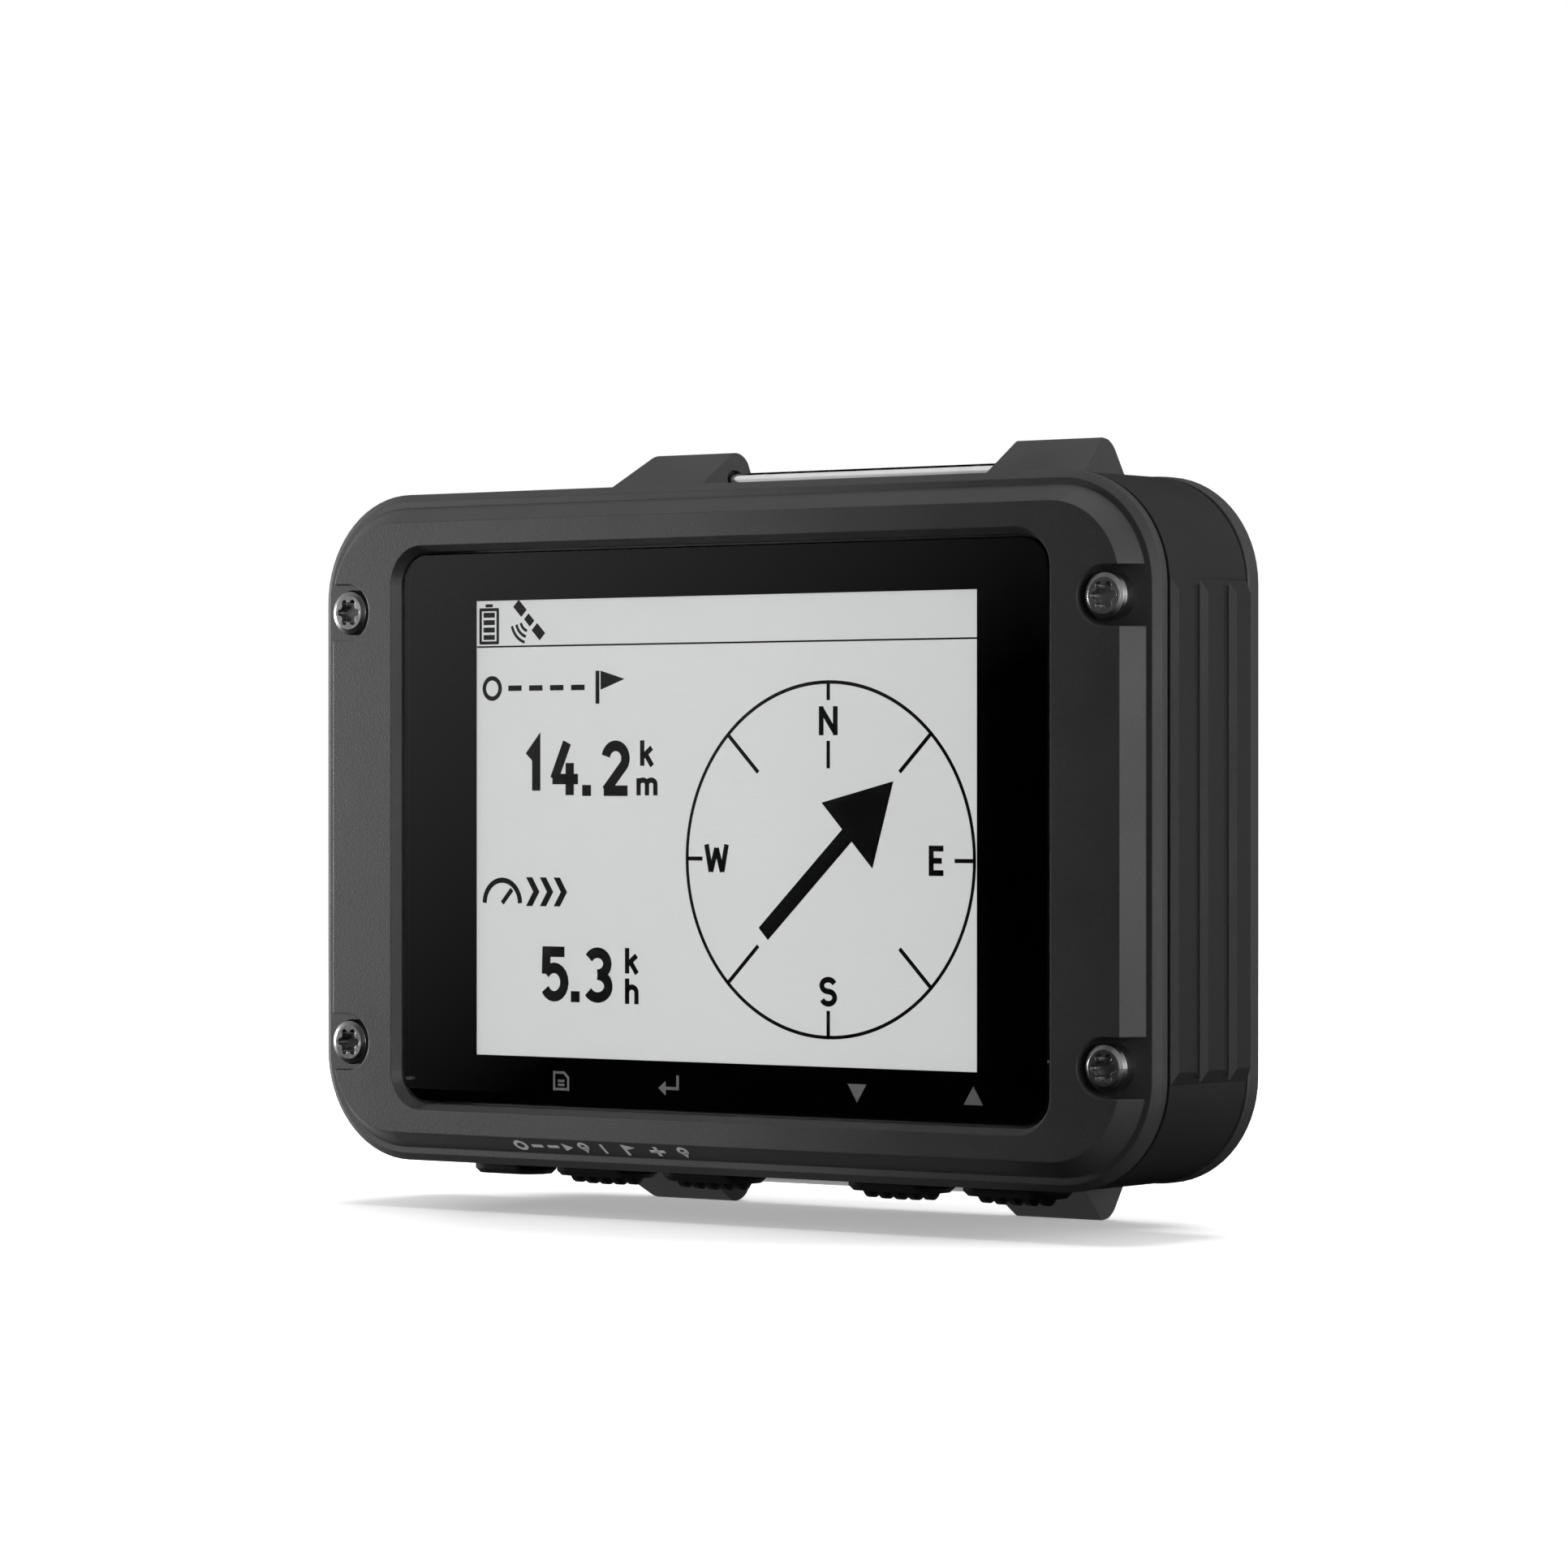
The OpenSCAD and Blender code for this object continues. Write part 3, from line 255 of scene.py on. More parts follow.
def draw_letter(letter, centre, size, weight):
    """The strokes of a narrow letter or number that fills a width and height, in millimetres."""
    span = (size[0] - weight, size[1] - weight)
    shapes = []
    for line in LETTERS[letter]:
        points = [(centre[0] + (x - 0.5) * span[0], centre[1] + (y - 0.5) * span[1]) for x, y in line]
        shapes.append(draw_shape(stroke(points, weight)))
    return shapes


def print_marks(name, shapes, tilt, place, material):
    """Joins flat shapes, gives them the thickness of a print, and sets them on the case."""
    bpy.ops.object.select_all(action="DESELECT")
    for shape in shapes:
        shape.select_set(True)
    bpy.context.view_layer.objects.active = shapes[0]
    if len(shapes) > 1:
        bpy.ops.object.join()
    marks = bpy.context.object
    bpy.ops.object.mode_set(mode="EDIT")
    bpy.ops.mesh.select_all(action="SELECT")
    bpy.ops.mesh.remove_doubles(threshold=0.002 * MM)
    bpy.ops.mesh.normals_make_consistent(inside=False)
    bpy.ops.mesh.extrude_region_move(TRANSFORM_OT_translate={"value": (0, 0, -PRINT_THICKNESS * MM)})
    bpy.ops.mesh.select_all(action="SELECT")
    bpy.ops.mesh.normals_make_consistent(inside=False)
    bpy.ops.object.mode_set(mode="OBJECT")
    marks.rotation_euler = (math.radians(90 + tilt), 0, 0)
    marks.location = (place[0] * MM, (place[1] - HALF_DEPTH) * MM, (place[2] + MIDDLE_HEIGHT) * MM)
    bpy.ops.object.transform_apply(location=True, rotation=True, scale=True)
    marks.name = name
    marks.data.name = name
    marks.data.materials.clear()
    marks.data.materials.append(material)
    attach(marks, "case")
    bpy.ops.object.select_all(action="DESELECT")
    return marks


def moved(points, place):
    """The same outline somewhere else."""
    return [(point[0] + place[0], point[1] + place[1]) for point in points]


SIGN_DEPTH = 1.875
SIGN_HEIGHT = -19.2
SIGN_STROKE = 0.24
sign_ink, tree, shader = pale_ink("sign_ink", grey(0.36), grey(0.46))


def sheet_sign(x):
    """A sheet of paper with a folded corner: the key that turns the pages."""
    edges = [((-0.68, -0.75), (-0.68, 0.75)), ((-0.56, 0.63), (0.3, 0.63)), ((0.68, 0.28), (0.68, -0.75)),
             ((0.56, -0.63), (-0.56, -0.63)), ((0.22, 0.68), (0.74, 0.2)), ((-0.32, 0.0), (0.32, 0.0)),
             ((-0.32, -0.3), (0.32, -0.3))]
    return [draw_shape(moved(bar(start, end, SIGN_STROKE * 0.8), (x, 0))) for start, end in edges]


def return_sign(x):
    """A bent arrow: the key that enters a choice."""
    head = [(-1.0, -0.25), (-0.3, 0.3), (-0.3, -0.8)]
    strokes = [((-0.35, -0.25), (0.95, -0.25)), ((0.83, -0.25), (0.83, 0.75))]
    return [draw_shape(moved(head, (x, 0)))] + [
        draw_shape(moved(bar(start, end, SIGN_STROKE), (x, 0))) for start, end in strokes]


def triangle_sign(x, way):
    """A triangle that points up or down."""
    points = [(-0.85, -0.6 * way), (0.0, 0.75 * way), (0.85, -0.6 * way)]
    return [draw_shape(moved(points, (x, 0)))]


signs = sheet_sign(-15.0) + return_sign(-4.65) + triangle_sign(12.75, -1) + triangle_sign(23.1, 1)
print_marks("key_signs", signs, 0, (0, SIGN_DEPTH, SIGN_HEIGHT), sign_ink)

# Marks on the bezel's lower slope: what two of the keys do when they are held down.
# They are pad-printed in near-white ink: a way to a pin, a divider, a flag, and a pin to add.
SLOPE_DEPTH = 1.6
SLOPE_WIDTH = 1.2
SLOPE_TILT = math.degrees(math.atan2(SLOPE_DEPTH, SLOPE_WIDTH))
SLOPE_PLACE = (0, 0.788, -24.191)
slope_ink, tree, shader = pale_ink("slope_ink", grey(0.8), grey(0.9))


def pin_mark(x):
    """A pin on a map."""
    point = [(x - 0.42, 0.12), (x, -0.68), (x + 0.42, 0.12)]
    return [draw_ring((x, 0.22), 0.5, 0.27), draw_shape(point)]


def flag_mark(x):
    """A small flag on its pole."""
    cloth = [(x - 0.35, 0.68), (x + 0.65, 0.36), (x - 0.35, 0.04)]
    return [draw_shape(bar((x - 0.43, -0.68), (x - 0.43, 0.68), 0.28)), draw_shape(cloth)]


slope_marks = [draw_ring((-18.4, 0), 0.63, 0.29), draw_shape([(-14.2, 0.5), (-13.3, 0), (-14.2, -0.5)])]
for left in (-17.3, -15.75):
    slope_marks.append(draw_shape(bar((left, 0), (left + 1.05, 0), 0.32)))
slope_marks += pin_mark(-12.2) + [draw_shape(bar((-10.34, -0.6), (-10.34, 0.6), 0.24))]
slope_marks += flag_mark(-7.8) + pin_mark(-2.7)
for start, end in (((-5.9, 0), (-4.5, 0)), ((-5.2, -0.58), (-5.2, 0.58))):
    slope_marks.append(draw_shape(bar(start, end, 0.32)))
print_marks("slope_marks", slope_marks, SLOPE_TILT, SLOPE_PLACE, slope_ink)

# Display: a light grey reflective liquid crystal panel on its light guide, clamped behind the lens.
# Its picture is a plain layout of this part's own: a compass dial, two numbers and signs, no words.
display_grey_painted_glow, tree, shader = new_material("display_grey_painted_glow")
spot = put(tree, "TexCoord").outputs["Object"]
PIXEL = 0.00017
upright = put(tree, "Mapping", {"Vector": spot, "Rotation": (math.pi / 2, 0, 0)}).outputs[0]
grid = {"Vector": upright, "Color1": grey(0.62), "Color2": grey(0.63), "Mortar": grey(0.56), "Scale": 1.0,
        "Mortar Size": PIXEL * 0.06, "Brick Width": PIXEL, "Row Height": PIXEL}
lines = put(tree, "TexBrick", grid, offset=0.0, squash=1.0).outputs["Color"]
tree.links.new(lines, shader.inputs["Base Color"])
# Painted light: the panel and its light guide glow at 0.82 in their own grey, so the panel looks evenly lit
# behind the lens, though the real panel is reflective.
tree.links.new(lines, shader.inputs["Emission Color"])
shader.inputs["Emission Strength"].default_value = 0.82
shader.inputs["Roughness"].default_value = 0.5
shader.inputs["Specular IOR Level"].default_value = 0.1
dress(display_grey_painted_glow, "display_panel", "backlight")

PANEL_DEPTH = 2.03
picture_black, tree, shader = pale_ink("picture_black", grey(0.006), grey(0.01))
shader.inputs["Specular IOR Level"].default_value = 0.1


def show(name, shapes):
    """Puts flat shapes on the display."""
    return print_marks(name, shapes, 0, (0, PANEL_DEPTH, 0), picture_black)


HAIR = 0.13
THIN = 0.26
STATUS_LINE = 13.9
status = [draw_shape(bar((-23.4, STATUS_LINE), (23.4, STATUS_LINE), HAIR))]
CELL_LEFT, CELL_RIGHT, CELL_LOW, CELL_HIGH = -23.05, -21.35, 14.2, 16.75
CELL_CORNER = 0.09
cell_frame = [((CELL_LEFT, CELL_LOW), (CELL_LEFT, CELL_HIGH)),
              ((CELL_RIGHT, CELL_LOW), (CELL_RIGHT, CELL_HIGH)),
              ((CELL_LEFT - CELL_CORNER, CELL_LOW), (CELL_RIGHT + CELL_CORNER, CELL_LOW)),
              ((CELL_LEFT - CELL_CORNER, CELL_HIGH), (CELL_RIGHT + CELL_CORNER, CELL_HIGH)),
              ((-22.55, 17.05), (-21.85, 17.05))]
status += [draw_shape(bar(start, end, 0.24)) for start, end in cell_frame]
for level in range(4):
    height = 14.62 + 0.57 * level
    status.append(draw_shape(bar((-22.75, height), (-21.65, height), 0.38)))
SATELLITE = (-18.25, 15.9)
SLANT = 0.707
for reach, long, wide in ((0.0, 0.8, 0.62), (-1.28, 1.1, 0.76), (1.28, 1.1, 0.76)):
    ends = [(SATELLITE[0] + along * SLANT, SATELLITE[1] - along * SLANT)
            for along in (reach - long / 2, reach + long / 2)]
    status.append(draw_shape(bar(ends[0], ends[1], wide)))
for radius in (0.85, 1.3, 1.75):
    status.append(draw_shape(stroke(curve(SATELLITE, (radius, radius), 195, 255), 0.22)))
show("status_row", status)

ROUTE_HEIGHT = 10.7
distance = [draw_ring((-21.9, ROUTE_HEIGHT), 0.95, 0.34)]
for dash in range(4):
    left = -20.3 + 2.05 * dash
    distance.append(draw_shape(bar((left, ROUTE_HEIGHT), (left + 1.3, ROUTE_HEIGHT), 0.42)))
distance.append(draw_shape(bar((-11.6, 9.45), (-11.6, 11.95), 0.36)))
distance.append(draw_shape([(-11.3, 11.95), (-9.0, 11.3), (-11.3, 10.5)]))
for letter, middle, width in (("1", -17.8, 2.0), ("4", -14.75, 2.9), ("2", -9.85, 2.7)):
    distance += draw_letter(letter, (middle, 4.56), (width, 4.2), 0.8)
distance.append(draw_shape(bar((-12.65, 2.46), (-12.65, 3.3), 0.84)))
distance += draw_letter("k", (-6.85, 5.7), (1.3, 2.0), 0.4)
distance += draw_letter("m", (-6.85, 3.16), (2.0, 1.4), 0.4)
show("distance_field", distance)

GAUGE = (-20.9, -5.75)
speed = [draw_shape(stroke(curve(GAUGE, (1.75, 1.75), 0, 180), 0.4)),
         draw_shape(bar(GAUGE, (-19.95, -4.7), 0.36))]
for step in range(3):
    tip = -17.6 + 1.35 * step
    speed.append(draw_shape([(tip - 0.95, -3.75), (tip - 0.35, -3.75), (tip + 0.35, -4.85),
                             (tip - 0.35, -5.95), (tip - 0.95, -5.95), (tip - 0.25, -4.85)]))
for letter, middle, width in (("5", -15.75, 2.7), ("3", -11.5, 2.7)):
    speed += draw_letter(letter, (middle, -11.1), (width, 4.2), 0.8)
speed.append(draw_shape(bar((-13.75, -13.2), (-13.75, -12.36), 0.84)))
speed += draw_letter("k", (-8.3, -9.96), (1.3, 2.0), 0.4)
speed += draw_letter("h", (-8.3, -12.26), (1.3, 2.0), 0.4)
show("speed_field", speed)

DIAL = (10.03, -2.2)
DIAL_R = 13.2
dial = [draw_ring(DIAL, DIAL_R, THIN)]
for turn in (45, 135, 225, 315):
    way = (math.cos(math.radians(turn)), math.sin(math.radians(turn)))
    ends = [(DIAL[0] + reach * way[0], DIAL[1] + reach * way[1]) for reach in (DIAL_R - 0.1, 9.1)]
    dial.append(draw_shape(bar(ends[0], ends[1], THIN * 1.15)))
for start, end in (((DIAL[0], 10.9), (DIAL[0], 9.54)), ((DIAL[0], 6.55), (DIAL[0], 4.52)),
                   ((DIAL[0], -15.3), (DIAL[0], -13.3)), ((-3.1, DIAL[1]), (-1.6, DIAL[1])),
                   ((21.35, DIAL[1]), (23.1, DIAL[1]))):
    dial.append(draw_shape(bar(start, end, THIN * 1.15)))
for letter, centre, width in (("N", (DIAL[0], 8.02), 1.7), ("S", (DIAL[0], -11.9), 1.6),
                              ("W", (-0.28, DIAL[1]), 2.3), ("E", (19.77, DIAL[1]), 1.4)):
    dial += draw_letter(letter, centre, (width, 2.2), 0.42)
show("compass_dial", dial)

TAIL = (4.07, -7.74)
NECK = (11.72, -0.41)
TIP = (15.9, 3.57)
SHAFT_HALF = 0.62
HEAD_HALF = 3.33
reach = math.hypot(TIP[0] - TAIL[0], TIP[1] - TAIL[1])
across = (-(TIP[1] - TAIL[1]) / reach, (TIP[0] - TAIL[0]) / reach)
arrow = [(point[0] + half * across[0], point[1] + half * across[1])
         for point, half in ((TAIL, SHAFT_HALF), (NECK, SHAFT_HALF), (NECK, HEAD_HALF), (TIP, 0.0),
                             (NECK, -HEAD_HALF), (NECK, -SHAFT_HALF), (TAIL, -SHAFT_HALF))]
show("bearing_arrow", [draw_shape(arrow)])

# Carrier and printed lead: a black tray clamps the panel, and an amber film carries its signals back.
# The tray's pegs drop on the main board, and the film folds round the tray's edge.
inner_plastic, tree, shader = new_material("inner_plastic")
coat_with(tree, shader, moulded_skin,
          {"Hollows": grey(0.018), "Peaks": grey(0.03), "Rubbed": grey(0.06), "Grain Scale": 5000.0,
           "Grain Depth": 0.00001, "Edge Radius": 0.0001, "Roughness": 0.55}, SKIN_LINKS)
dress(inner_plastic, "display_carrier", "board_chips", "beeper")

flex_film, tree, shader = new_material("flex_film")
spot = put(tree, "TexCoord").outputs["Object"]
wave = put(tree, "TexWave", {"Vector": spot, "Scale": 800.0, "Distortion": 0.0}, bands_direction="Z")
tracks = stretched(tree, wave.outputs[1], 0.4, 0.6)
tree.links.new(mixed(tree, tracks, (0.42, 0.2, 0.03, 1), (0.62, 0.36, 0.08, 1)), shader.inputs["Base Color"])
shader.inputs["Roughness"].default_value = 0.35
dress(flex_film, "display_flex")

# Boards and what they carry: green laminate with copper tracks under the solder mask.
# The receiver sits in a tinned can, with a ceramic aerial above it and a dome switch behind each key.
board_green, tree, shader = new_material("board_green")
spot = put(tree, "TexCoord").outputs["Object"]
laminate = {"Vector": spot, "Color1": (0.012, 0.075, 0.035, 1), "Color2": (0.016, 0.09, 0.045, 1),
            "Mortar": (0.03, 0.16, 0.08, 1), "Scale": 1.0, "Mortar Size": 0.00016, "Brick Width": 0.0031,
            "Row Height": 0.0012}
tree.links.new(put(tree, "TexBrick", laminate).outputs["Color"], shader.inputs["Base Color"])
shader.inputs["Roughness"].default_value = 0.35
dress(board_green, "main_board", "key_board")


def make_metal_wear():
    """Group: the colour, roughness and normal of plain metal with fine drawn lines and handling marks."""
    tree, given, result = add_group(
        "metal_wear",
        [("Dull", "Color", grey(0.4)), ("Bright", "Color", grey(0.6)),
         ("Line Scale", "Vector", (900, 9000, 9000)), ("Roughness", "Float", 0.3),
         ("Edge Radius", "Float", 0.00006)],
        [("Colour", "Color"), ("Roughness", "Float"), ("Normal", "Vector")])
    spot = put(tree, "TexCoord").outputs["Object"]
    drawn = put(tree, "VectorMath", {0: spot, 1: given["Line Scale"]}, operation="MULTIPLY").outputs[0]
    lines = put(tree, "TexNoise", {"Vector": drawn, "Scale": 1.0, "Detail": 2.0}).outputs[0]
    marks = put(tree, "TexNoise", {"Vector": spot, "Scale": 600.0, "Detail": 4.0}).outputs[0]
    shine = stretched(tree, sum_of(tree, lines, marks), 0.7, 1.3)
    tree.links.new(mixed(tree, shine, given["Dull"], given["Bright"]), result["Colour"])
    rough = sum_of(tree, given["Roughness"], stretched(tree, marks, 0.3, 0.7, -0.07, 0.07))
    tree.links.new(rough, result["Roughness"])
    bevel = put(tree, "Bevel", {"Radius": given["Edge Radius"]}, samples=6).outputs[0]
    bump = put(tree, "Bump", {"Height": lines, "Distance": 0.000002, "Normal": bevel})
    tree.links.new(bump.outputs[0], result["Normal"])
    return tree


metal_wear = make_metal_wear()


def plain_metal(name, dull, bright, line_scale, roughness):
    """A metal with drawn lines."""
    material, tree, shader = new_material(name)
    coat_with(tree, shader, metal_wear,
              {"Dull": dull, "Bright": bright, "Line Scale": line_scale, "Roughness": roughness},
              SKIN_LINKS)
    shader.inputs["Metallic"].default_value = 1.0
    return material


tin_plate = plain_metal("tin_plate", (0.5, 0.51, 0.52, 1), (0.64, 0.65, 0.66, 1), (3000, 3000, 3000), 0.32)
dress(tin_plate, "shield_can", "usb_socket", "key_switches", "battery_springs")

fired_ceramic, tree, shader = new_material("fired_ceramic")
coat_with(tree, shader, moulded_skin,
          {"Hollows": (0.5, 0.42, 0.28, 1), "Peaks": (0.66, 0.58, 0.4, 1), "Rubbed": (0.72, 0.64, 0.46, 1),
           "Grain Scale": 9000.0, "Grain Depth": 0.000006, "Edge Radius": 0.0001, "Roughness": 0.6},
          SKIN_LINKS)
dress(fired_ceramic, "gps_antenna")

# Keys: five black silicone rubber keys in the bottom wall, four with ridged crests and one smooth.
# Each has an inner flange, so it can't come out, and a rubber strip seals them all. The cap of the
# socket on the left side is the same rubber.
key_rubber, tree, shader = new_material("key_rubber")
coat_with(tree, shader, moulded_skin,
          {"Hollows": grey(0.003), "Peaks": grey(0.005), "Rubbed": grey(0.01), "Grain Scale": 9000.0,
           "Grain Depth": 0.000006, "Edge Radius": 0.00008, "Roughness": 0.6}, SKIN_LINKS)
shader.inputs["Specular IOR Level"].default_value = 0.05
dress(key_rubber, "power_key", "page_key", "enter_key", "down_key", "up_key", "usb_cap", "usb_cap_strap")

# Middle case: a blacker moulding, ribbed on its short sides for grip, with painted shade in the ribs'
# valleys.
# The rear housing screws on behind it. That one and the battery cover have the bezel's grey, and a
# porous disc in the rear housing lets the pressure out.
RIB_START = -8.59
RIB_PITCH = 3.855
RIB_SIDE = 38.5
RIB_HALF_LENGTH = 17.6
DARKEST_VALLEY_SHADE = 0.9
case_plastic, tree, shader = new_material("case_plastic")
skin = coat_with(tree, shader, moulded_skin,
                 {"Hollows": grey(0.016), "Peaks": grey(0.022), "Rubbed": grey(0.032), "Grain Scale": 7000.0,
                  "Grain Depth": 0.000012, "Edge Radius": 0.0001, "Roughness": 0.52}, SKIN_LINKS)
spot = put(tree, "TexCoord").outputs["Object"]
parts = put(tree, "SeparateXYZ", {0: spot}).outputs
row = sum_of(tree, sum_of(tree, parts["Y"], RIB_START * MM, "SUBTRACT"), RIB_PITCH * MM, "DIVIDE")
way_over = put(tree, "Math", {0: row}, operation="FRACT").outputs[0]
fall = stretched(tree, way_over, 0.66, 0.98, 0.0, DARKEST_VALLEY_SHADE)
aside = put(tree, "Math", {0: parts["X"]}, operation="ABSOLUTE").outputs[0]
rise = sum_of(tree, parts["Z"], MIDDLE_HEIGHT * MM, "SUBTRACT")
level = put(tree, "Math", {0: rise}, operation="ABSOLUTE").outputs[0]
on_ribs = sum_of(tree, sum_of(tree, aside, RIB_SIDE * MM, "GREATER_THAN"),
                 sum_of(tree, level, RIB_HALF_LENGTH * MM, "LESS_THAN"), "MULTIPLY")
# Painted shade: towards each rib's valley the colour goes near black and the specular level drops, where the
# ribs shade each other.
painted_valley_shade = sum_of(tree, fall, on_ribs, "MULTIPLY")
tree.links.new(mixed(tree, painted_valley_shade, skin.outputs["Colour"], grey(0.001)), shader.inputs["Base Color"])
tree.links.new(stretched(tree, painted_valley_shade, 0.0, DARKEST_VALLEY_SHADE, 0.14, 0.02), shader.inputs["Specular IOR Level"])
dress(case_plastic, "mid_case")

vent_disc, tree, shader = new_material("vent_disc")
spot = put(tree, "TexCoord").outputs["Object"]
pores = put(tree, "TexVoronoi", {"Vector": spot, "Scale": 5000.0}).outputs["Distance"]
tree.links.new(mixed(tree, pores, grey(0.03), grey(0.14)), shader.inputs["Base Color"])
bump = put(tree, "Bump", {"Height": pores, "Distance": 0.00003})
tree.links.new(bump.outputs[0], shader.inputs["Normal"])
shader.inputs["Roughness"].default_value = 0.85
dress(vent_disc, "pressure_vent")

# Seals: soft moulded cords in the grooves between the shells and under the cover.
# They are dull rubber, and only a dark line of them shows in the gaps.
seal_rubber, tree, shader = new_material("seal_rubber")
coat_with(tree, shader, moulded_skin,
          {"Hollows": grey(0.014), "Peaks": grey(0.024), "Rubbed": grey(0.04), "Grain Scale": 6000.0,
           "Grain Depth": 0.000008, "Edge Radius": 0.0002, "Roughness": 0.7}, SKIN_LINKS)
dress(seal_rubber, "front_seal", "rear_seal", "key_seal", "cover_seal")


# Screws: stainless, with six-lobed recesses in the case and coin slots in the cover.
# Their heads are turned, so fine rings run round each middle.
def make_turned_rings():
    """Group: colour, roughness and normal of turned heads round mirrored middles in the X and Z plane."""
    tree, given, result = add_group(
        "turned_rings",
        [("Dull", "Color", grey(0.3)), ("Bright", "Color", grey(0.5)), ("Middle X", "Float", 0.0),
         ("Middle Z", "Float", 0.0), ("Height", "Float", MIDDLE_HEIGHT * MM), ("Roughness", "Float", 0.3)],
        [("Colour", "Color"), ("Roughness", "Float"), ("Normal", "Vector")])
    spot = put(tree, "TexCoord").outputs["Object"]
    parts = put(tree, "SeparateXYZ", {0: spot}).outputs
    across = put(tree, "Math", {0: parts["X"]}, operation="ABSOLUTE").outputs[0]
    aside = sum_of(tree, across, given["Middle X"], "SUBTRACT")
    rise = sum_of(tree, parts["Z"], given["Height"], "SUBTRACT")
    level = put(tree, "Math", {0: rise}, operation="ABSOLUTE").outputs[0]
    above = sum_of(tree, level, given["Middle Z"], "SUBTRACT")
    flat = put(tree, "CombineXYZ", {0: aside, 1: above}).outputs[0]
    radius = put(tree, "VectorMath", {0: flat}, operation="LENGTH").outputs["Value"]
    rings = put(tree, "Math", {0: sum_of(tree, radius, 55000.0, "MULTIPLY")}, operation="SINE").outputs[0]
    marks = put(tree, "TexNoise", {"Vector": spot, "Scale": 2500.0, "Detail": 4.0}).outputs[0]
    shine = sum_of(tree, stretched(tree, rings, -1.0, 1.0, 0.0, 0.4),
                   stretched(tree, marks, 0.3, 0.7, 0.15, 0.45))
    tree.links.new(mixed(tree, shine, given["Dull"], given["Bright"]), result["Colour"])
    rough = sum_of(tree, given["Roughness"], stretched(tree, marks, 0.3, 0.7, -0.03, 0.03))
    tree.links.new(rough, result["Roughness"])
    bevel = put(tree, "Bevel", {"Radius": 0.00006}, samples=6).outputs[0]
    bump = put(tree, "Bump", {"Height": rings, "Distance": 0.0000015, "Normal": bevel})
    tree.links.new(bump.outputs[0], result["Normal"])
    return tree


turned_rings = make_turned_rings()


def turned_metal(name, middle, dull, bright, roughness):
    """A turned metal with rings round the given middle."""
    material, tree, shader = new_material(name)
    coat_with(tree, shader, turned_rings,
              {"Dull": dull, "Bright": bright, "Middle X": middle[0] * MM, "Middle Z": middle[1] * MM,
               "Roughness": roughness}, SKIN_LINKS)
    shader.inputs["Metallic"].default_value = 1.0
    return material


screw_steel = turned_metal("screw_steel", (35.2, 16.73), grey(0.13), grey(0.22), 0.32)
dress(screw_steel, "bezel_screws", "rear_screws", "board_screws")
coin_steel = turned_metal("coin_steel", (0.0, 13.6), grey(0.26), grey(0.4), 0.3)
dress(coin_steel, "cover_screw_top", "cover_screw_bottom")

# Strap bars: polished stainless rods, moulded into the lugs at both ends.
# A fine drawn line along the rod is all that breaks its shine.
bar_steel = plain_metal("bar_steel", grey(0.6), grey(0.74), (60, 30000, 30000), 0.14)
dress(bar_steel, "strap_bar_top", "strap_bar_bottom")

# Battery bay: two plain sleeved cells, plated contacts and coil springs at their ends.
# The cover's two screws run in knurled brass inserts.
cell_sleeve, tree, shader = new_material("cell_sleeve")
spot = put(tree, "TexCoord").outputs["Object"]
parts = put(tree, "SeparateXYZ", {0: spot}).outputs
upper = sum_of(tree, parts["Z"], MIDDLE_HEIGHT * MM, "GREATER_THAN")
sign = stretched(tree, upper, 0.0, 1.0, -1.0, 1.0)
along = sum_of(tree, parts["X"], sign, "MULTIPLY")
band = sum_of(tree, along, 12.0 * MM, "GREATER_THAN")
scuffs = put(tree, "TexNoise", {"Vector": spot, "Scale": 900.0, "Detail": 5.0}).outputs[0]
sleeve = mixed(tree, scuffs, (0.3, 0.31, 0.32, 1), (0.4, 0.41, 0.42, 1))
tree.links.new(mixed(tree, band, sleeve, (0.015, 0.05, 0.12, 1)), shader.inputs["Base Color"])
tree.links.new(stretched(tree, scuffs, 0.3, 0.7, 0.25, 0.4), shader.inputs["Roughness"])
shader.inputs["Coat Weight"].default_value = 0.3
dress(cell_sleeve, "battery_upper", "battery_lower")
contact_plate = plain_metal("contact_plate", (0.6, 0.5, 0.26, 1), (0.75, 0.66, 0.4, 1),
                            (9000, 9000, 900), 0.28)
dress(contact_plate, "battery_contacts")
insert_brass = turned_metal("insert_brass", (0.0, 13.6), (0.5, 0.33, 0.1, 1), (0.68, 0.47, 0.18, 1), 0.32)
dress(insert_brass, "cover_inserts")

# Studio: a white floor that keeps the shadow and has a painted shadow round the part, a white surround,
# three soft lights and some cards.
# The camera stands to the right of the screen, level with it, as in the photograph.
bpy.ops.mesh.primitive_plane_add(size=6.0)
floor = bpy.context.object
floor.name = "floor"
floor_white, tree, shader = new_material("floor_white")
spot = put(tree, "TexCoord").outputs["Object"]
distance = put(tree, "VectorMath", {0: spot}, operation="LENGTH").outputs["Value"]
rays = put(tree, "LightPath").outputs
seen = sum_of(tree, sum_of(tree, rays["Is Camera Ray"], rays["Is Glossy Ray"], "MAXIMUM"),
              rays["Is Transmission Ray"], "MAXIMUM")
# Painted shadow: the floor's glow drops to a third within 25 mm of the middle and is full again past 56 mm,
# so the floor is darker round the part than the part's own shadow makes it.
floor_glow_with_painted_shadow = sum_of(tree, stretched(tree, distance, 0.025, 0.056, 0.33, 1.0), seen, "MULTIPLY")
tree.links.new(floor_glow_with_painted_shadow, shader.inputs["Emission Strength"])
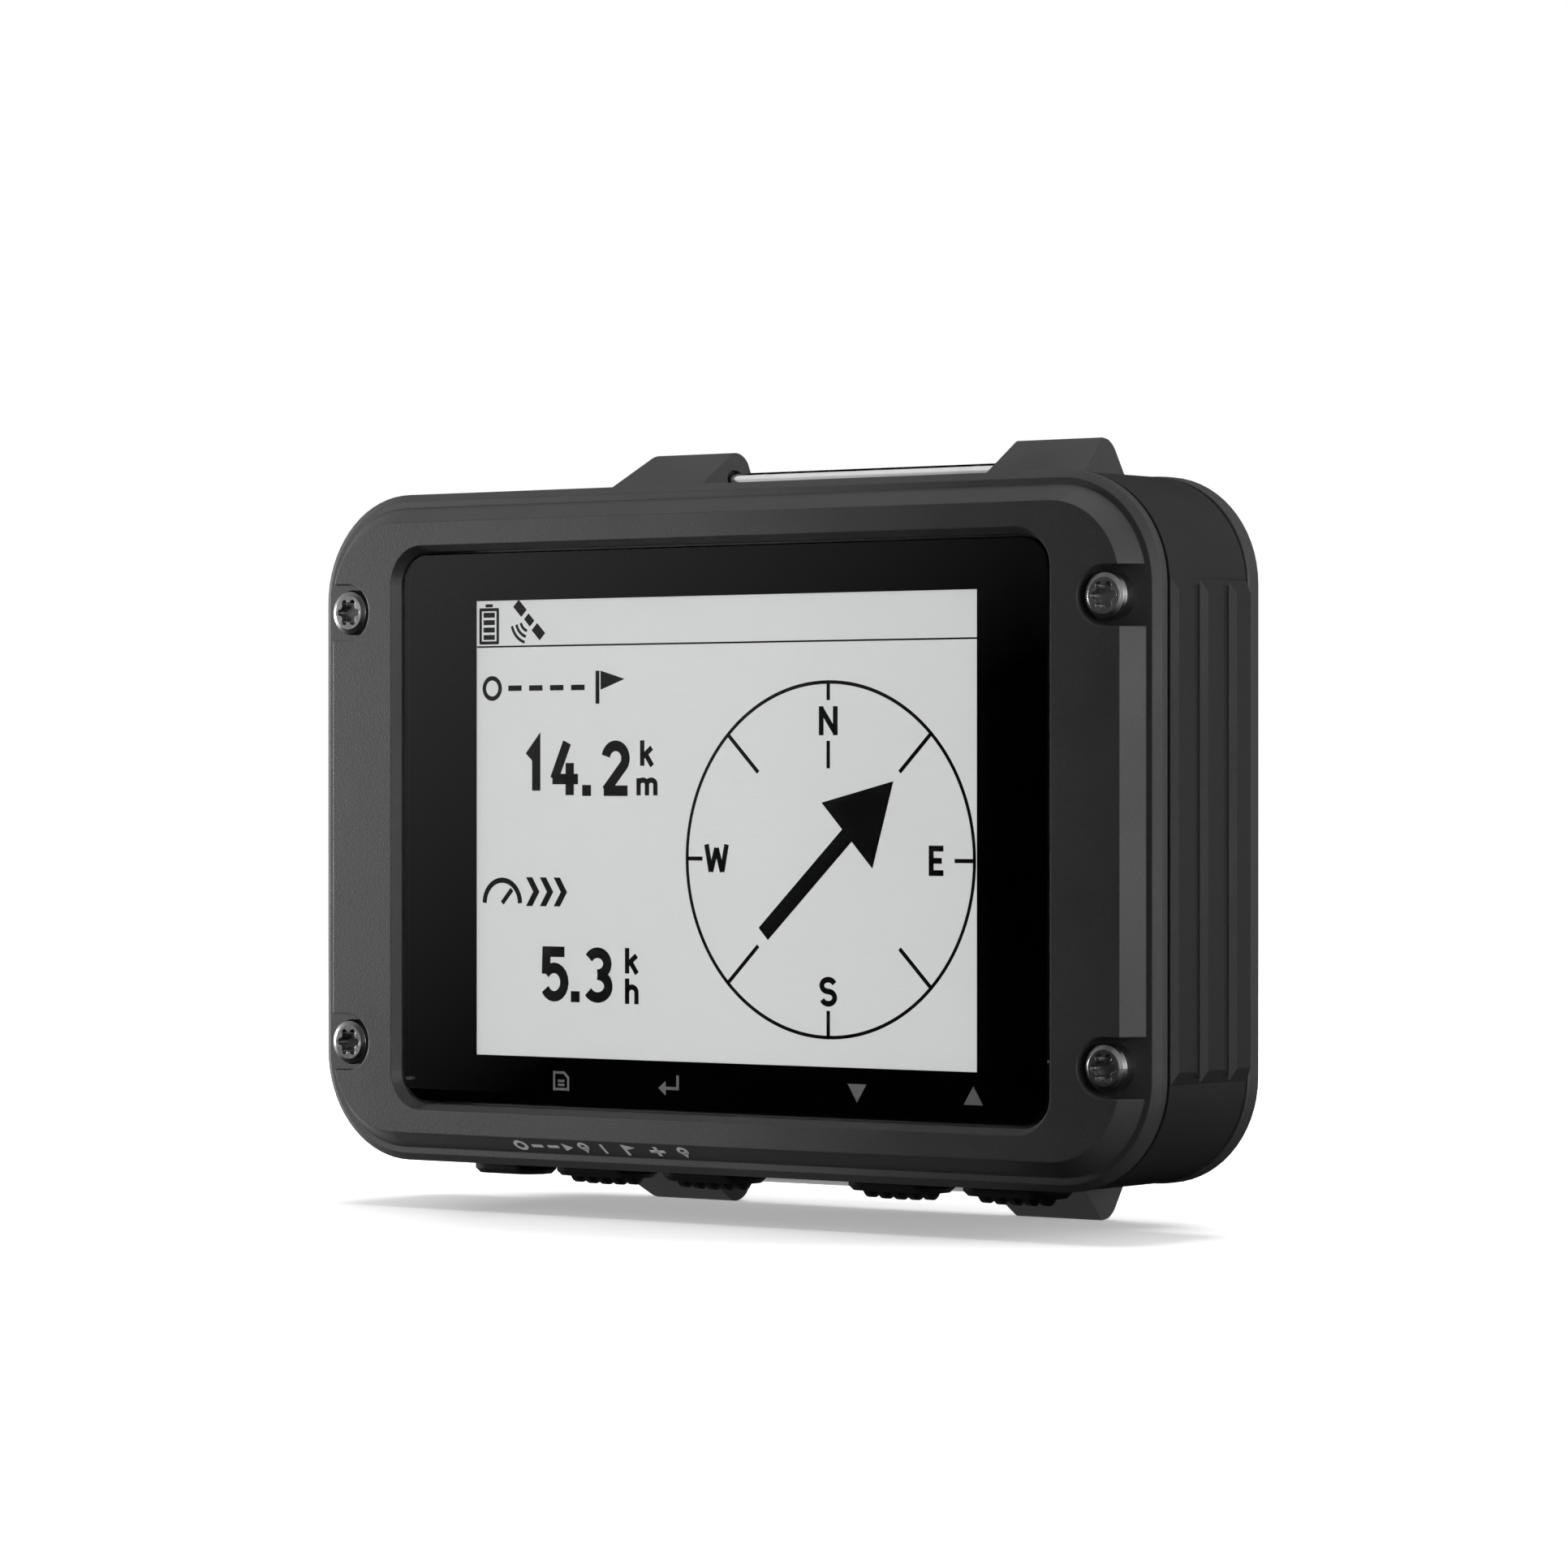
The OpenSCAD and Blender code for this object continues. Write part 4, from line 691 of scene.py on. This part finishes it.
# The floor shows a tone of 0.85 to the camera but bounces only 0.2 onto the part, which keeps the part's
# underside in shade.
tree.links.new(mixed(tree, rays["Is Camera Ray"], grey(0.2), grey(0.85)), shader.inputs["Base Color"])
shader.inputs["Emission Color"].default_value = grey(1.0)
shader.inputs["Roughness"].default_value = 0.9
shader.inputs["Specular IOR Level"].default_value = 0.0
floor.data.materials.append(floor_white)

world = bpy.data.worlds.new("studio")
bpy.context.scene.world = world
world.use_nodes = True
tree = world.node_tree
background = tree.nodes["Background"]
background.inputs["Color"].default_value = grey(1.0)
rays = put(tree, "LightPath").outputs
seen = sum_of(tree, sum_of(tree, rays["Is Camera Ray"], rays["Is Glossy Ray"], "MAXIMUM"),
              rays["Is Transmission Ray"], "MAXIMUM")
AMBIENT = 0.05
tree.links.new(stretched(tree, seen, 0.0, 1.0, AMBIENT, 1.0), background.inputs["Strength"])


def add_softbox(name, place, aim, size, power):
    """A square soft light that points at a place."""
    light = bpy.data.lights.new(name, "AREA")
    light.shape = "SQUARE"
    light.size = size
    light.energy = power
    lamp = bpy.data.objects.new(name, light)
    bpy.context.scene.collection.objects.link(lamp)
    lamp.location = place
    way = [aim[axis] - place[axis] for axis in range(3)]
    flat = math.hypot(way[0], way[1])
    lamp.rotation_euler = (math.atan2(flat, -way[2]), 0, math.atan2(-way[0], way[1]))
    lamp.visible_camera = False
    return lamp


MIDDLE = (0, 0, 0.03)
add_softbox("key_light", (-0.6, -0.19, 0.03), (-0.02, 0, 0.03), 0.08, 5.2)
add_softbox("side_light", (0.39, -0.05, 0.06), MIDDLE, 0.2, 1.0)
top_light = add_softbox("top_light", (0.0, 0.06, 0.5), MIDDLE, 0.35, 2.4)
top_light.visible_glossy = False

FADE_LENGTH = 0.08


def add_card(name, low, high, dim, bright, fade_from=9.0):
    """A card between two corners, which only reflections show; it fades to white past an X place."""
    bpy.ops.object.select_all(action="DESELECT")
    bpy.ops.mesh.primitive_plane_add(size=1.0)
    card = bpy.context.object
    flat = low[2] == high[2]
    for vertex in card.data.vertices:
        share = vertex.co.x + 0.5
        rise = vertex.co.y + 0.5
        shares = (share, rise if flat else share, rise)
        vertex.co = [low[axis] + (high[axis] - low[axis]) * shares[axis] for axis in range(3)]
    card.name = name
    card.visible_camera = False
    card.visible_diffuse = False
    card.visible_shadow = False
    material, tree, shader = new_material(name)
    parts = put(tree, "SeparateXYZ", {0: put(tree, "TexCoord").outputs["Object"]}).outputs
    aside = stretched(tree, parts["X"], -0.06, -0.14)
    above = stretched(tree, parts["Z"], 0.0, 0.0565)
    light = stretched(tree, sum_of(tree, aside, above), 0.8, 2.0, dim, bright)
    light = sum_of(tree, light, stretched(tree, parts["X"], fade_from, fade_from + FADE_LENGTH), "MAXIMUM")
    through = put(tree, "LightPath").outputs["Is Transmission Ray"]
    outside = sum_of(tree, 1.0, through, "SUBTRACT")
    tree.links.new(sum_of(tree, light, outside, "MULTIPLY"), shader.inputs["Emission Strength"])
    shader.inputs["Emission Color"].default_value = grey(1.0)
    shader.inputs["Base Color"].default_value = grey(0.0)
    shader.inputs["Specular IOR Level"].default_value = 0.0
    card.data.materials.append(material)
    return card


# Black cards keep the white surround out of the lens and the dark plastic. The one in front is grey at its
# top left, where the lens shows a faint glow, and the bright one on the right draws the bezel's chamfer.
# The lens alone sees lens_card, and the flag only shades the right half of the face from the key light.
CARD_HEIGHT = 0.0004
add_card("front_card", (-0.3, -0.14, 0.0), (0.06, -0.14, 0.2), 0.0, 0.72, -0.03)
add_card("floor_card", (-0.2, -0.14, CARD_HEIGHT), (0.14, -0.0102, CARD_HEIGHT), 0.0, 0.0)
add_card("right_floor_card", (0.024, -0.0102, CARD_HEIGHT), (0.14, 0.12, CARD_HEIGHT), 0.0, 0.0)
add_card("left_card", (-0.2, 0.06, 0.0), (-0.2, 0.6, 0.5), 0.0, 0.0)
add_card("back_card", (-0.2, 0.25, 0.0), (0.16, 0.25, 0.5), 0.0, 0.0)
add_card("right_card", (0.28, -0.5, 0.0), (0.5, -0.25, 0.15), 9.0, 9.0)
lens_card = add_card("lens_card", (0.02, -0.5, CARD_HEIGHT), (0.34, -0.14, CARD_HEIGHT), 0.0, 0.0)
lens_card.visible_glossy = False
flag = add_card("flag", (-0.065, -0.3, 0.0), (-0.065, -0.0357, 0.2), 0.0, 0.0)
flag.visible_glossy = False
flag.visible_transmission = False
flag.visible_shadow = True

camera = bpy.data.cameras.new("camera")
camera.lens = 133.8
camera.sensor_width = 36.0
camera.clip_start = 0.01
viewer = bpy.data.objects.new("camera", camera)
bpy.context.scene.collection.objects.link(viewer)
viewer.location = (0.26274, -0.35604, 0.03277)
viewer.rotation_euler = (math.radians(90), 0, math.radians(36.59))
bpy.context.scene.camera = viewer
bpy.context.scene.view_settings.view_transform = "Standard"
